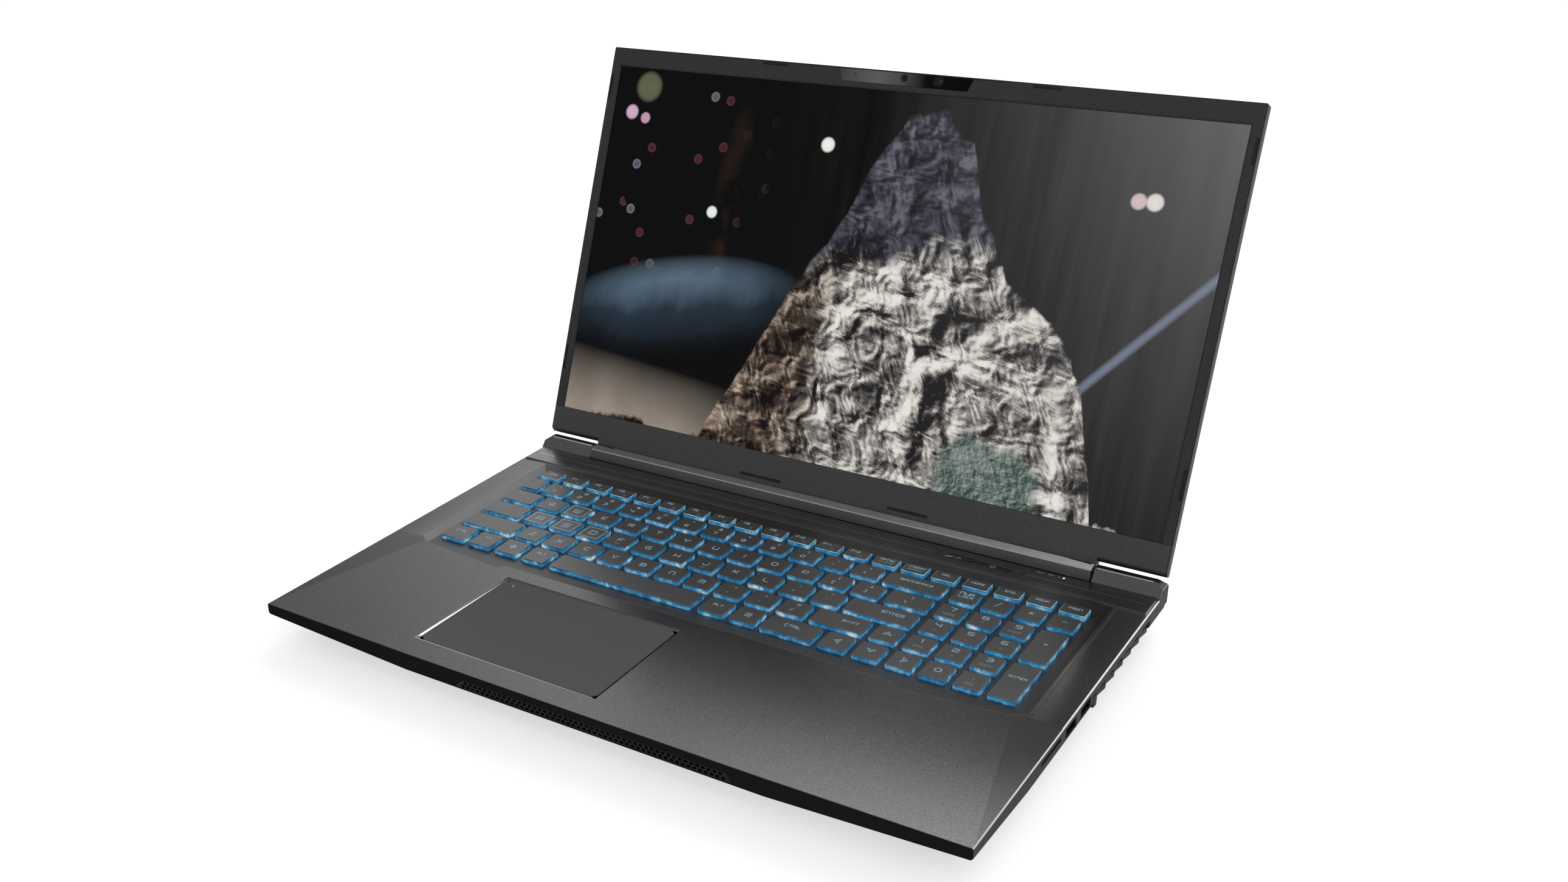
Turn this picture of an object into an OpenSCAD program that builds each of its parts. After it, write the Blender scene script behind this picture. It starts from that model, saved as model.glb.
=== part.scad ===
// Laptop with a numeric keypad, lid open, built one named solid piece at a time.
// X runs to the right, Y from the front edge to the rear, Z up from the table.
// Inside base_frame(), Y = 0 lies on the front corners of the base.

/* [Base] */
// Width of the base over its side walls
base_w = 396; // [392:1:400]
// Half depth of the base, from the front corners to the row origin
base_half_d = 130; // [130:1:132]
// Height of the keyboard deck above the table
deck_z = 24; // [24:0.5:25]
// Thickness of the top case skin
top_t = 1.8; // [1.6:0.1:2.0]
// Height of the parting line between top case and bottom cover
split_z = 14; // [13.5:0.1:14]
// Depth of the keyboard well below the deck
well_d = 2.2; // [2:0.1:2.4]

/* [Keyboard] */
// Pitch of the main letter keys
key_pitch = 18.75; // [18.6:0.05:18.8]
// Width of a letter key top
key_w = 15.4; // [15:0.1:15.5]
// Height of a key top above the deck
key_rise = 0.2; // [0:0.1:0.4]
// Gap between a key and its aperture
key_gap = 0.35; // [0.3:0.05:0.4]

/* [Touchpad] */
// Left edge of the touchpad
pad_x0 = -106; // [-107:0.5:-105]
// Right edge of the touchpad
pad_x1 = 2.6; // [2:0.1:3]
// Front edge of the touchpad
pad_y0 = 13.8; // [13.5:0.1:14]
// Rear edge of the touchpad
pad_y1 = 86.5; // [86:0.1:87]

/* [Lid] */
// Opening angle of the lid as drawn, 0 is shut
open_deg = 110.96; // [90:0.01:125]
// Half width of the lid
lid_half_w = 197.3; // [197:0.1:197.5]
// Thickness of the lid
lid_t = 6.5; // [6.5:0.1:7]
// Height of the lit screen area
screen_h = 214.8; // [214:0.1:215]
// Half width of the lit screen area
screen_half_w = 190.95; // [190.5:0.05:191]
// Gap between the shut lid and the deck
lid_gap = 1.0; // [1:0.1:1.2]

/* [Hinge] */
// Distance of the hinge axis behind the front corners
axis_y = 247.7; // [247.6:0.1:247.8]
// Radius of the hinge pin
pin_r = 2.0; // [1.8:0.1:2.0]
// Radial running clearance of the hinge and fan bores
run_gap = 0.05; // [0.03:0.01:0.08]

/* [Hidden] */
$fn = 48;

half_w = base_w / 2;
bottom_z = 2;                // underside of the bottom cover
rear_y = 260.5;              // rear wall of the base
rear_cut_y = 262;            // where cuts through the rear wall end
ledge_y = 249;               // front of the rear ledge and of the rear corner bevels
ledge_z = deck_z - 7.2;      // top of the rear ledge
skin_z = deck_z - top_t;     // underside of the deck skin
well_z = deck_z - well_d;    // keyboard well floor
plate_z = 17.6;              // underside of the keyboard plate
board_z = 14.2;              // underside of the motherboard
board_top_z = board_z + 1.4;
strip_z = deck_z + 0.4;      // top of the raised rear strip

axis_z = deck_z + 2.5;
lid_y = 225.5;               // rear edge of the lit area when the lid is shut
lid_z = deck_z + lid_gap;    // front face of the shut lid
axis_s = lid_y - axis_y;     // hinge axis in lid terms: along the lid
axis_o = axis_z - lid_z;     // and behind its front face
bar_x = 160.5;               // half length of the hinge bar
mound_x = 161.3;             // inner face of a hinge mound
trough_r = 9.7;              // trough in the deck around the hinge axis
pin_hole_r = 2.6;

// ---------- placement helpers ----------
module base_frame() {
  translate([0, -base_half_d, 0]) children();
}
module lid_frame() {
  base_frame()
    translate([0, axis_y, axis_z]) rotate([-open_deg, 0, 0]) translate([0, -axis_y, -axis_z])
      translate([0, lid_y, lid_z]) children();
}
module both_sides() {
  children();
  mirror([1, 0, 0]) children();
}
module on_axis() {
  translate([0, axis_y, axis_z]) children();
}
module on_lid_axis() {
  translate([0, -axis_s, axis_o]) children();
}
module at_points(points, z) {
  for (p = points) translate([p[0], p[1], z]) children();
}

// ---------- shape helpers ----------
module box(x0, x1, y0, y1, z0, z1) {
  translate([x0, y0, z0]) cube([x1 - x0, y1 - y0, z1 - z0]);
}
// box over a plan rectangle [x0, x1, y0, y1], shrunk on all four sides
module inset_box(rect, inset, z0, z1) {
  box(rect[0] + inset, rect[1] - inset, rect[2] + inset, rect[3] - inset, z0, z1);
}
// lid shapes: s runs up the screen from the bottom of the lit area, o is depth behind the face
module lid_box(x0, x1, s0, s1, o0, o1) {
  box(x0, x1, -s1, -s0, o0, o1);
}
module lid_prism(points, o0, o1) {
  z_prism([for (p = points) [p[0], -p[1]]], o0, o1);
}
// prisms along X with [y, z] points, along Y with [x, z] and along Z with [x, y]
module x_prism(points, x0, x1) {
  translate([x0, 0, 0]) rotate([90, 0, 90]) linear_extrude(x1 - x0) polygon(points);
}
module y_prism(points, y0, y1) {
  translate([0, y1, 0]) rotate([90, 0, 0]) linear_extrude(y1 - y0) polygon(points);
}
module z_prism(points, z0, z1) {
  translate([0, 0, z0]) linear_extrude(z1 - z0) polygon(points);
}
module x_cyl(r, x0, x1) {
  translate([x0, 0, 0]) rotate([0, 90, 0]) cylinder(r = r, h = x1 - x0);
}

// ---------- shared layout of the base ----------
// the deck beside the keyboard falls away from a crease that starts at the front corner
facet_deg = 1.3;
crease_deg = 13.1;
facet_w = 23.5;              // width of the sloped deck edge behind the crease
crease_y = 101;              // rear end of the slanted crease
edge_drop = facet_w * cos(crease_deg) * tan(facet_deg);
edge_drop_deg = atan(edge_drop / crease_y);

// plan of the keyboard well, [x, y]
well_points = [[-180.8, 104], [-174.5, 98.8], [-120.3, 94], [-115, 97.8], [115, 97.8],
  [120.3, 94], [174.5, 98.8], [180.8, 104], [180.8, 220.4], [-180.8, 220.4]];
// plan of the floor slab under the well, [x, y]
floor_points = [[-183, 103.4], [-175, 97.6], [-120.6, 92.6], [-114.6, 96.4], [114.6, 96.4],
  [120.6, 92.6], [175, 97.6], [183, 103.4], [183, 223], [-183, 223]];
// side section of a hinge mound and of the hollow in it, [y, z]
mound_points = [[239.2, deck_z], [244.8, deck_z + 6.3], [248.6, deck_z + 6.3],
  [253, deck_z + 1.5], [253, deck_z - 8], [239.2, deck_z - 8]];
mound_hollow_points = [[239.4, skin_z - 0.1], [245.4, deck_z + 5], [248.4, deck_z + 5],
  [251.7, deck_z + 1.4], [251.7, split_z - 1], [239.4, split_z - 1]];

// touchpad and button plans, inset from their openings
pad_corner = 3;
function pad_points(inset) =
  let (x0 = pad_x0 + inset, x1 = pad_x1 - inset, y0 = pad_y0 + inset, y1 = pad_y1 - inset)
  [[x0 + pad_corner, y0], [x1 - pad_corner, y0], [x1, y0 + pad_corner], [x1, y1 - pad_corner],
   [x1 - pad_corner, y1], [x0 + pad_corner, y1], [x0, y1 - pad_corner], [x0, y0 + pad_corner]];
function fan_button_points(inset) = [[80.2 + inset, 226.2 + inset],
  [96.7 - inset * 0.4, 226.7 + inset], [101.1 - inset * 1.2, 231.4 - inset],
  [86 + inset * 0.6, 232.5 - inset]];
function power_button_points(inset) = [[98.3 + inset * 1.2, 226.8 + inset],
  [121 - inset * 0.4, 225.8 + inset], [125.4 - inset * 1.2, 231.3 - inset],
  [101.6 + inset * 0.6, 232.1 - inset]];
led_points = [for (x = [136.8, 142.2, 148.1]) [x, 235.5]];

// case screws, bracket screws on the right, all [x, y]
screw_points = [[-168, 30], [168, 30], [-120, 25], [30, 25], [-150, 91.5], [150, 91.5],
  [-20, 91.5], [-172, 230], [172, 230], [-70, 250], [70, 250]];
bracket_screw_points = [[174, 241], [184, 241]];
thread_r = 1.05;
boss_z = 4.3;                // lower end of the screw bosses
// feet, [x0, x1, y0, y1] of each recess
foot_rects = [[-158, -126, 26, 34], [126, 158, 26, 34], [-168, -90, 236, 244],
  [90, 168, 236, 244], [-20, 20, 126, 134]];

fan_x = 120;
fan_y = 185;
vent_y0 = 141;               // side vent openings
vent_y1 = 224;
usb_w = 13;
usb_right_y = [104.9, 124.1];
usb_left_y = 101.5;
jack_y = [80, 91];
jack_z = deck_z - 5.4;
round_port_x = 30;           // round socket in the rear wall
round_port_z = 9.8;
// rectangular rear sockets, [x0, x1, z0, z1]
rear_port_rects = [[-57.4, -42.6, 7.1, 12.4], [-31.8, -24.2, 7.8, 12.2], [-9.8, -0.8, 8.4, 11.4]];

// ---------- keys: each is [x0, x1, y0, y1] ----------
// [y0, y1] of each row, from the space bar row back to the function row
row_y = [[109.3, 124.5], [128.5, 143.2], [147.2, 161.6], [165.7, 179.8], [184.1, 197.8],
  [201.5, 211.3]];
// [x0, x1] of the numpad columns, the escape key and the up and down arrows
pad_col = [[105.2, 118.9], [122.7, 136.5], [140.4, 154], [157.7, 171.7]];
escape_x = [-171.7, -158.1];
arrow_x = [87.2, 101];
function_pitch = 17.27;
main_x1 = 100.5;             // right end of the main key block
function key(x, row) = [x[0], x[1], row_y[row][0], row_y[row][1]];
function key_run(x0, count, row) =
  [for (i = [0:count - 1]) key([x0 + i * key_pitch, x0 + i * key_pitch + key_w], row)];

keys_escape = [key(escape_x, 5)];
keys_function = concat(
  [for (i = [1:15]) key([escape_x[0] + function_pitch * i, escape_x[1] + function_pitch * i], 5)],
  [for (col = pad_col) key(col, 5)]);
keys_number = concat([key([-171.9, -160.8], 4)], key_run(-157.9, 12, 4));
keys_backspace = [key([67.4, main_x1], 4)];
keys_upper = concat([key([-172, -151.5], 3)], key_run(-148.4, 12, 3), [key([77.2, main_x1], 3)]);
keys_home = concat([key([-172, -146.7], 2)], key_run(-143.2, 11, 2));
keys_enter = [key([63.1, main_x1], 2)];
keys_left_shift = [key([-172.2, -137.3], 1)];
keys_lower = concat(key_run(-134.4, 10, 1), [key([53.5, 83.2], 1)]);
modifier_x = [[-172, -156.3], [-152.8, -137.8], [-133.9, -119], [-114.8, -100.2],
  [-1, 14.2], [17.8, 32.4], [35.9, 64.8]];
keys_modifier = [for (x = modifier_x) key(x, 0)];
keys_space = [key([-96.1, -5.1], 0)];
keys_up = [key(arrow_x, 1)];
keys_left = [key([68.6, 83.2], 0)];
keys_down = [key(arrow_x, 0)];
keys_right = [key(pad_col[0], 0)];
// twelve plain keys, the top right one, two double-height keys and two in the front row
keys_numpad = concat(
  [for (row = [1:4]) for (col = [0:2]) key(pad_col[col], row)],
  [key(pad_col[3], 4)],
  [for (row = [2, 0]) [pad_col[3][0], pad_col[3][1], row_y[row][0], row_y[row + 1][1]]],
  [key(pad_col[1], 0), key(pad_col[2], 0)]);
keys_all = concat(keys_escape, keys_function, keys_number, keys_backspace, keys_upper, keys_home,
  keys_enter, keys_left_shift, keys_lower, keys_modifier, keys_space, keys_up, keys_left,
  keys_down, keys_right, keys_numpad);
key_bottom = well_z - 1.3;
key_top = deck_z + key_rise;
key_chamfer = 0.3;
key_wall = 1.1;

// one keycap: a lidded skirt open underneath, with a small chamfer on its rim
module keycap(rect) {
  base_frame() difference() {
    union() {
      inset_box(rect, 0, key_bottom, key_top - key_chamfer);
      inset_box(rect, key_chamfer, key_top - 0.4, key_top);
    }
    inset_box(rect, key_wall, key_bottom - 1, key_top - key_wall);
  }
}
module keycaps(rects) color([0.13, 0.14, 0.16]) for (rect = rects) keycap(rect);

// ---------- base outline ----------
// facets that lift the lower edge of the front corners
module corner_lift(inset) both_sides() {
  translate([102, -1.5, 14.5]) rotate([0, -2.565, 0]) rotate([-30, 0, 0])
    translate([-20, -60, -60]) cube([135, 160, 60 + inset]);
  translate([half_w, 0, 18.8]) rotate([-3.6, 0, 0]) rotate([0, -43, 0])
    translate([-60, -20, -60]) cube([120, 90, 60 + inset]);
}
// crossing of the plan, the front section and the side section
module base_block(inset, z0, z1) {
  side_x = half_w - inset;
  bevel_x = half_w - 10 - inset * 0.4;
  bevel_y = ledge_y - inset * 0.4;
  back_y = rear_y - inset;
  intersection() {
    z_prism([[-side_x, inset], [-100, -1.5 + inset], [100, -1.5 + inset], [side_x, inset],
      [side_x, bevel_y], [bevel_x, back_y], [-bevel_x, back_y], [-side_x, bevel_y]], z0, z1);
    y_prism([[-side_x, deck_z], [-side_x, 15], [-side_x + 14, bottom_z],
      [side_x - 14, bottom_z], [side_x, 15], [side_x, deck_z]], -5, 265);
    x_prism([[-1.5 + inset, deck_z], [-1.5 + inset, 14.5 + inset * 0.577],
      [20.16 + inset * 2, bottom_z], [254 - inset, bottom_z], [back_y, 8], [back_y, deck_z]],
      -half_w, half_w);
  }
}
module base_outline(inset, z0, z1) difference() {
  base_block(inset, z0, z1);
  corner_lift(inset);
}

// ---------- top case ----------
module trough_cut() on_axis() x_cyl(trough_r, -mound_x, mound_x);

module edge_chamfers() {
  both_sides() {
    translate([half_w - 0.55, 0, deck_z]) rotate([-edge_drop_deg, 0, 0]) rotate([0, 45, 0])
      translate([0, -5, 0]) cube([3, 106.1, 3]);
    translate([half_w - 0.55, crease_y, deck_z - edge_drop]) rotate([0, 45, 0]) cube([3, 165, 3]);
  }
  translate([-half_w - 5, -1.5, deck_z - 0.8]) rotate([45, 0, 0]) mirror([0, 1, 0])
    cube([2 * half_w + 10, 3, 3]);
}
// sloped outer facets of the deck, beside the crease and behind it
module deck_facets() both_sides() {
  intersection() {
    translate([half_w, 0, deck_z]) rotate([0, 0, crease_deg]) rotate([0, facet_deg, 0])
      translate([0, -20, 0]) cube([60, 160, 3]);
    box(100, 260, -20, crease_y, deck_z - 5, deck_z + 5);
  }
  translate([half_w - facet_w, crease_y, deck_z]) rotate([0, atan(edge_drop / facet_w), 0])
    cube([60, 165, 3]);
}
// outer body with the rear ledge and hinge trough cut away
module outer_body() difference() {
  base_outline(0, split_z, deck_z);
  box(-half_w - 1, half_w + 1, ledge_y, rear_cut_y, ledge_z, deck_z + 1);
  box(-mound_x, mound_x, axis_y, rear_cut_y, ledge_z, deck_z + 1);
  trough_cut();
  edge_chamfers();
  deck_facets();
}
module rear_strip() difference() {
  z_prism([[-196.5, 220.4], [196.5, 220.4], [196.5, 239.4], [-196.5, 239.4]],
    deck_z - 1, strip_z);
  trough_cut();
}
module hinge_mounds() both_sides() intersection() {
  x_prism(mound_points, mound_x, half_w);
  y_prism([[mound_x - 1, deck_z - 9], [mound_x - 1, deck_z + 7], [192.5, deck_z + 7],
    [half_w, deck_z + 3.5], [half_w, deck_z - 9]], 230, 260);
}
module deck_hollow() intersection() {
  base_outline(top_t, split_z - 1, deck_z);
  union() {
    box(-half_w, half_w, -2, 237, split_z - 1, skin_z);
    box(-half_w, half_w, 230, rear_cut_y, split_z - 1, ledge_z - 1.6);
    both_sides() box(mound_x + 1.5, 191, 230, 247, split_z - 1, skin_z);
  }
}
module trough_skin() difference() {
  intersection() {
    on_axis() x_cyl(trough_r + 1.5, -mound_x - 1.4, mound_x + 1.4);
    box(-half_w, half_w, 230, axis_y, deck_z - 8.8, deck_z);
  }
  trough_cut();
}
module screw_bosses() {
  for (p = screw_points)
    translate([p[0], p[1], boss_z])
      cylinder(r = 2.6, h = (p[1] > 245 ? deck_z - 8 : skin_z + 0.2) - boss_z);
  both_sides() at_points(bracket_screw_points, 17.1) cylinder(r = 2.2, h = 6.5);
}
// keyboard well with a sloped rim
module well_cut() intersection() {
  z_prism(well_points, well_z, deck_z + 2);
  y_prism([[-175.2, well_z], [-182, deck_z + 0.65], [-182, deck_z + 2], [182, deck_z + 2],
    [182, deck_z + 0.65], [175.2, well_z]], 90, 225);
  x_prism([[90, well_z], [90, deck_z + 2], [222.6, deck_z + 2], [220.4, strip_z],
    [212.6, well_z]], -185, 185);
}
// touchpad window, bevelled at its mouth
module pad_cut() {
  z_prism(pad_points(0), 16, deck_z + 1);
  intersection() {
    y_prism(bevel_section(pad_x0, pad_x1), pad_y0 - 1, pad_y1 + 1);
    x_prism(bevel_section(pad_y0, pad_y1), -130, 30);
  }
}
// section of the bevel between two facing edges of the window
function bevel_section(edge0, edge1) = [[edge0 - 0.1, deck_z - 1.2], [edge0 - 1.3, deck_z],
  [edge0 - 1.3, deck_z + 1], [edge1 + 1.3, deck_z + 1], [edge1 + 1.3, deck_z],
  [edge1 + 0.1, deck_z - 1.2]];
// buttons, light pipes and the trim groove
module strip_cuts() {
  z_prism(fan_button_points(0), deck_z - 3, deck_z + 2);
  z_prism(power_button_points(0), deck_z - 3, deck_z + 2);
  at_points(led_points, deck_z - 3) cylinder(r = 0.5, h = 5);
  for (x = [[-193.5, 76.5], [129, 193.1]])
    box(x[0], x[1], 229.2, 229.9, strip_z - 0.5, deck_z + 2);
}
// window through the right wall
module wall_cut(y0, y1, z0, z1) box(half_w - 3, half_w + 1, y0, y1, z0, z1);
module usb_cut(y) wall_cut(y - 0.1, y + usb_w + 0.1, deck_z - 8.5, deck_z - 3.1);
module side_cuts() {
  both_sides() wall_cut(vent_y0, vent_y1, 13, 19.2);
  wall_cut(74.3, 98.2, deck_z - 5.6, deck_z - 3.2);
  for (y = usb_right_y) usb_cut(y);
  mirror([1, 0, 0]) {
    usb_cut(usb_left_y);
    wall_cut(119, 134.4, deck_z - 8.5, deck_z - 2.2);
  }
  for (y = jack_y) translate([-half_w, y, jack_z]) x_cyl(3.2, -1, 3);
}
module top_case() color([0.30, 0.31, 0.32]) base_frame() difference() {
  union() {
    difference() {
      union() {
        outer_body();
        rear_strip();
        hinge_mounds();
      }
      deck_hollow();
      both_sides() x_prism(mound_hollow_points, mound_x + 1.5, 190);
    }
    trough_skin();
    z_prism(floor_points, well_z - 1.4, skin_z + 0.1);
    screw_bosses();
  }
  well_cut();
  for (rect = keys_all) inset_box(rect, -key_gap, well_z - 3, well_z + 1);
  pad_cut();
  strip_cuts();
  side_cuts();
  // front grille window
  y_prism([[-65.6, deck_z - 4.6], [83.1, deck_z - 4.6], [86.8, deck_z - 9],
    [-70.8, deck_z - 9]], -3, 3);
  // hinge pin holes and screw threads
  on_axis() both_sides() x_cyl(pin_hole_r, mound_x - 2, mound_x + 2.5);
  at_points(screw_points, 4) cylinder(r = thread_r, h = 9);
  both_sides() at_points(bracket_screw_points, 16) cylinder(r = thread_r, h = 5.5);
}

// ---------- bottom cover, feet and screws ----------
// box along a rear socket rectangle
module rear_port_box(rect, inset, y0, y1) {
  box(rect[0] + inset, rect[1] - inset, y0, y1, rect[2] + inset, rect[3] - inset);
}
// rearward cylinder on the axis of the round rear socket
module round_port_cyl(r, y, h) {
  translate([round_port_x, y, round_port_z]) rotate([-90, 0, 0]) cylinder(r = r, h = h);
}
module bottom_slots() both_sides() {
  // air inlets under each fan
  for (i = [0:11])
    box(fan_x - 24 + i * 4.2, fan_x - 21.8 + i * 4.2, fan_y - 26, fan_y + 26, 1, 5);
  // speaker slots
  for (i = [0:5]) box(156 + i * 3, 157.4 + i * 3, 48, 76, 1, 5);
  // rear exhausts
  for (i = [0:17]) box(84 + i * 4.1, 86.4 + i * 4.1, 255, rear_cut_y, 6.4, 12.6);
  // lower parts of the side vents
  box(half_w - 6.2, half_w + 1, vent_y0, vent_y1, 11, 15);
}
module bottom_cover() color([0.11, 0.11, 0.12]) base_frame() difference() {
  base_outline(0, bottom_z, split_z);
  base_outline(2, 4, split_z + 1);
  bottom_slots();
  for (rect = rear_port_rects) rear_port_box(rect, -0.2, 256, rear_cut_y);
  round_port_cyl(3.4, 256, 6);
  // screw seats
  at_points(screw_points, 0) {
    cylinder(r = 2.5, h = 3);
    cylinder(r = 1.15, h = 6);
  }
  for (rect = foot_rects) inset_box(rect, 0, 1, 2.6);
}
module rubber_feet() color([0.05, 0.05, 0.05]) base_frame() for (rect = foot_rects) union() {
  inset_box(rect, 0.1, 1, 2.6);
  inset_box(rect, 0.8, 0, 1.2);
}
module screw(shank) {
  cylinder(r = 2.2, h = 0.8);
  translate([0, 0, 0.7]) cylinder(r = 1, h = shank);
}
module case_screws() color([0.2, 0.2, 0.21]) base_frame() difference() {
  union() {
    at_points(screw_points, 2.2) screw(9.5);
    both_sides() at_points(bracket_screw_points, 14.85) screw(5.5);
  }
  // cross slots
  at_points(screw_points, 2)
    for (angle = [0, 90]) rotate([0, 0, angle]) box(-1.2, 1.2, -0.2, 0.2, 0, 0.6);
}

// ---------- grille and vents ----------
module front_grille() color([0.07, 0.07, 0.07]) base_frame() difference() {
  y_prism([[-65.4, deck_z - 4.7], [82.9, deck_z - 4.7], [86.4, deck_z - 8.9],
    [-70.4, deck_z - 8.9]], -1.2, 0.3);
  for (i = [0:48]) box(-64.6 + i * 3, -62.6 + i * 3, -2, 1, deck_z - 6.5, deck_z - 5.1);
  for (i = [0:49]) box(-66.1 + i * 3, -64.1 + i * 3, -2, 1, deck_z - 8.5, deck_z - 7.0);
}
louvre_pitch = 12.3;
louvre_y = 144.9;            // rear tip of the first louvre
louvre_x = half_w - 4.9;     // inner face of the louvres
louvre_tip_x = half_w + 0.4; // just past the wall
module vent_frame() difference() {
  union() {
    box(half_w - 6.0, half_w - 4.7, vent_y0 + 0.1, vent_y1 - 0.1, 11.2, 21.6);
    box(half_w - 5.0, half_w - 0.7, vent_y0 + 0.1, vent_y1 - 0.1, 18.1, 19.1);
    box(half_w - 6.0, half_w - 4.2, vent_y0 + 0.1, vent_y1 - 0.1, 11.1, 12.2);
  }
  for (i = [0:18]) box(half_w - 7, half_w - 4, 143.4 + i * 4.2, 145.8 + i * 4.2, 13.2, 17.4);
}
module side_vents() color([0.16, 0.165, 0.17]) base_frame() both_sides() {
  vent_frame();
  // saw-toothed louvres; the front one is shorter along the wall and reaches lower
  for (i = [1:6])
    let (tip = louvre_y + i * louvre_pitch)
      z_prism([[louvre_x, tip - 10.2], [half_w - 0.8, tip - 10.2], [louvre_tip_x, tip - 0.9],
        [louvre_tip_x, tip], [half_w - 1.4, tip + 0.7], [louvre_x, tip + 0.7]], 15.3, 18.3);
  z_prism([[louvre_x, 141.2], [half_w + 0.1, 141.2], [louvre_tip_x, 144],
    [louvre_tip_x, louvre_y], [half_w - 1.4, 145.6], [louvre_x, 145.6]], 12.6, 18.3);
  // upright bars below them
  for (i = [0:5])
    for (j = [1:2])
      let (y = 143.2 + i * louvre_pitch + j * 4.1)
        box(louvre_x, half_w - 3.2, y, y + 0.8, 12.0, 15.5);
}

// ---------- keyboard unit ----------
module keyboard_plate() color([0.35, 0.36, 0.38]) base_frame() difference() {
  box(-176, 176, 100, 213, plate_z, plate_z + 0.8);
  for (x = [-150, -75, 0, 75, 150])
    for (y = [126.5, 182]) translate([x, y, plate_z - 1]) cylinder(r = 1.2, h = 3);
}
module dome_sheet() color([0.55, 0.6, 0.65]) base_frame() union() {
  box(-174, 174, 104, 212.6, plate_z + 0.8, plate_z + 1.0);
  for (k = keys_all) translate([(k[0] + k[1]) / 2, (k[2] + k[3]) / 2, plate_z + 0.9]) {
    cylinder(r = 2.6, h = 0.7);
    cylinder(r = 1.7, h = 1.5);
  }
}
module escape_key() keycaps(keys_escape);
module function_keys() keycaps(keys_function);
module number_keys() keycaps(keys_number);
module backspace_key() keycaps(keys_backspace);
module upper_letter_keys() keycaps(keys_upper);
module home_letter_keys() keycaps(keys_home);
module enter_key() keycaps(keys_enter);
module left_shift_key() keycaps(keys_left_shift);
module lower_letter_keys() keycaps(keys_lower);
module modifier_keys() keycaps(keys_modifier);
module space_bar() keycaps(keys_space);
module up_arrow_key() keycaps(keys_up);
module left_arrow_key() keycaps(keys_left);
module down_arrow_key() keycaps(keys_down);
module right_arrow_key() keycaps(keys_right);
module numpad_keys() keycaps(keys_numpad);

// ---------- touchpad and buttons ----------
module touchpad() color([0.33, 0.33, 0.34]) base_frame()
  z_prism(pad_points(0.3), deck_z - 2.1, deck_z - 0.5);
module touchpad_bracket() color([0.5, 0.5, 0.52]) base_frame() difference() {
  union() {
    box(-111, 8, 10.5, 87.8, 19.2, 20.2);
    at_points([[-108.8, 30], [-108.8, 70], [5.6, 30], [5.6, 70]], 20)
      cylinder(r = 1.8, h = skin_z - 20);
    box(-90, -13, 83.6, 85.6, 20.1, 21.0);
  }
  box(-95, -60, 30, 70, 18, 21);
  box(-45, -10, 30, 70, 18, 21);
}
module button_board() color([0.08, 0.3, 0.16]) base_frame() union() {
  box(78, 152, 224.5, 236.8, 18.6, 19.6);
  for (x = [90, 111]) translate([x, 229, 19.5]) cylinder(r = 1.6, h = 1.9);
  at_points(led_points, 19.5) cylinder(r = 0.44, h = strip_z - 19.5 + 0.05);
}
module button(points) color([0.28, 0.29, 0.30]) base_frame()
  z_prism(points, deck_z - 2, strip_z + 0.1);
module power_button() button(power_button_points(0.2));
module fan_mode_button() button(fan_button_points(0.2));

// ---------- motherboard and cooling ----------
chip_x = [-32, 32];
module motherboard() color([0.05, 0.22, 0.12]) base_frame() difference() {
  union() {
    // [x0, x1, y0, y1] of the overlapping board areas
    for (rect = [[-78, 78, 98, 236], [-190, -70, 98, 144], [-190, -153, 68, 100],
        [70, 190, 98, 140]])
      inset_box(rect, 0, board_z, board_top_z);
    // square blocks on top and a row of small ones underneath
    at_points([[-60, 180], [62, 180], [-62, 225], [62, 225], [0, 225]], 0)
      box(-5, 5, -5, 5, board_z + 1.3, board_z + 2.9);
    for (i = [0:5]) box(-48 + i * 7, -43 + i * 7, 220, 225, board_z - 2.0, board_z + 0.1);
  }
  at_points([[-120, 120], [120, 120], [0, 104], [-70, 140], [70, 150]], board_z - 1)
    cylinder(r = 1.3, h = 4);
}
module processor_chips() color([0.12, 0.12, 0.13]) base_frame() for (x = chip_x) union() {
  box(x - 17, x + 17, 182, 214, board_z - 0.8, board_z);
  box(x - 7, x + 7, 191, 205, board_z - 1.2, board_z - 0.7);
}
// plan of a flattened heat pipe along a path of [x, y] points
module pipe_plan(points, width) {
  for (i = [0:len(points) - 2]) {
    start = points[i];
    run = points[i + 1] - start;
    translate(start) rotate([0, 0, atan2(run[1], run[0])]) translate([0, -width / 2])
      square([norm(run), width]);
  }
  for (p = points) translate(p) rotate([0, 0, 15]) circle(r = width / 2 + 0.2, $fn = 12);
}
module heat_pipes() color([0.72, 0.42, 0.26]) base_frame() union() {
  for (x = chip_x) box(x - 18, x + 18, 180, 216, board_z - 2.3, board_z - 1.2);
  translate([0, 0, board_z - 4.8]) linear_extrude(2.6) {
    both_sides() pipe_plan([[24, 188], [24, 222], [36, 234.2], [154, 234.2]], 7);
    both_sides() pipe_plan([[42, 188], [42, 218], [50, 227], [94, 227], [106, 244.5],
      [154, 244.5]], 7);
    pipe_plan([[-44, 201], [44, 201]], 8);
  }
}
// fin stacks between two plates: behind each fan and outboard of it
module heatsink_fins() color([0.62, 0.62, 0.64]) base_frame() both_sides() {
  union() {
    for (i = [0:23]) box(86 + i * 3, 86.4 + i * 3, 224.6, 254.4, 4.8, 9.3);
    for (z = [4.6, 8.9]) box(86, 155.4, 224.6, 254.4, z, z + 0.4);
  }
  union() {
    for (i = [0:21]) box(160.6, 183, 151 + i * 3.2, 151.4 + i * 3.2, 4.8, 13.4);
    for (z = [4.6, 13.0]) box(160.6, 183, 151, 218.6, z, z + 0.4);
  }
}
fan_r = 37;
hub_r = 11;
shaft_r = 1.5;
blade_count = 29;
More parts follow.
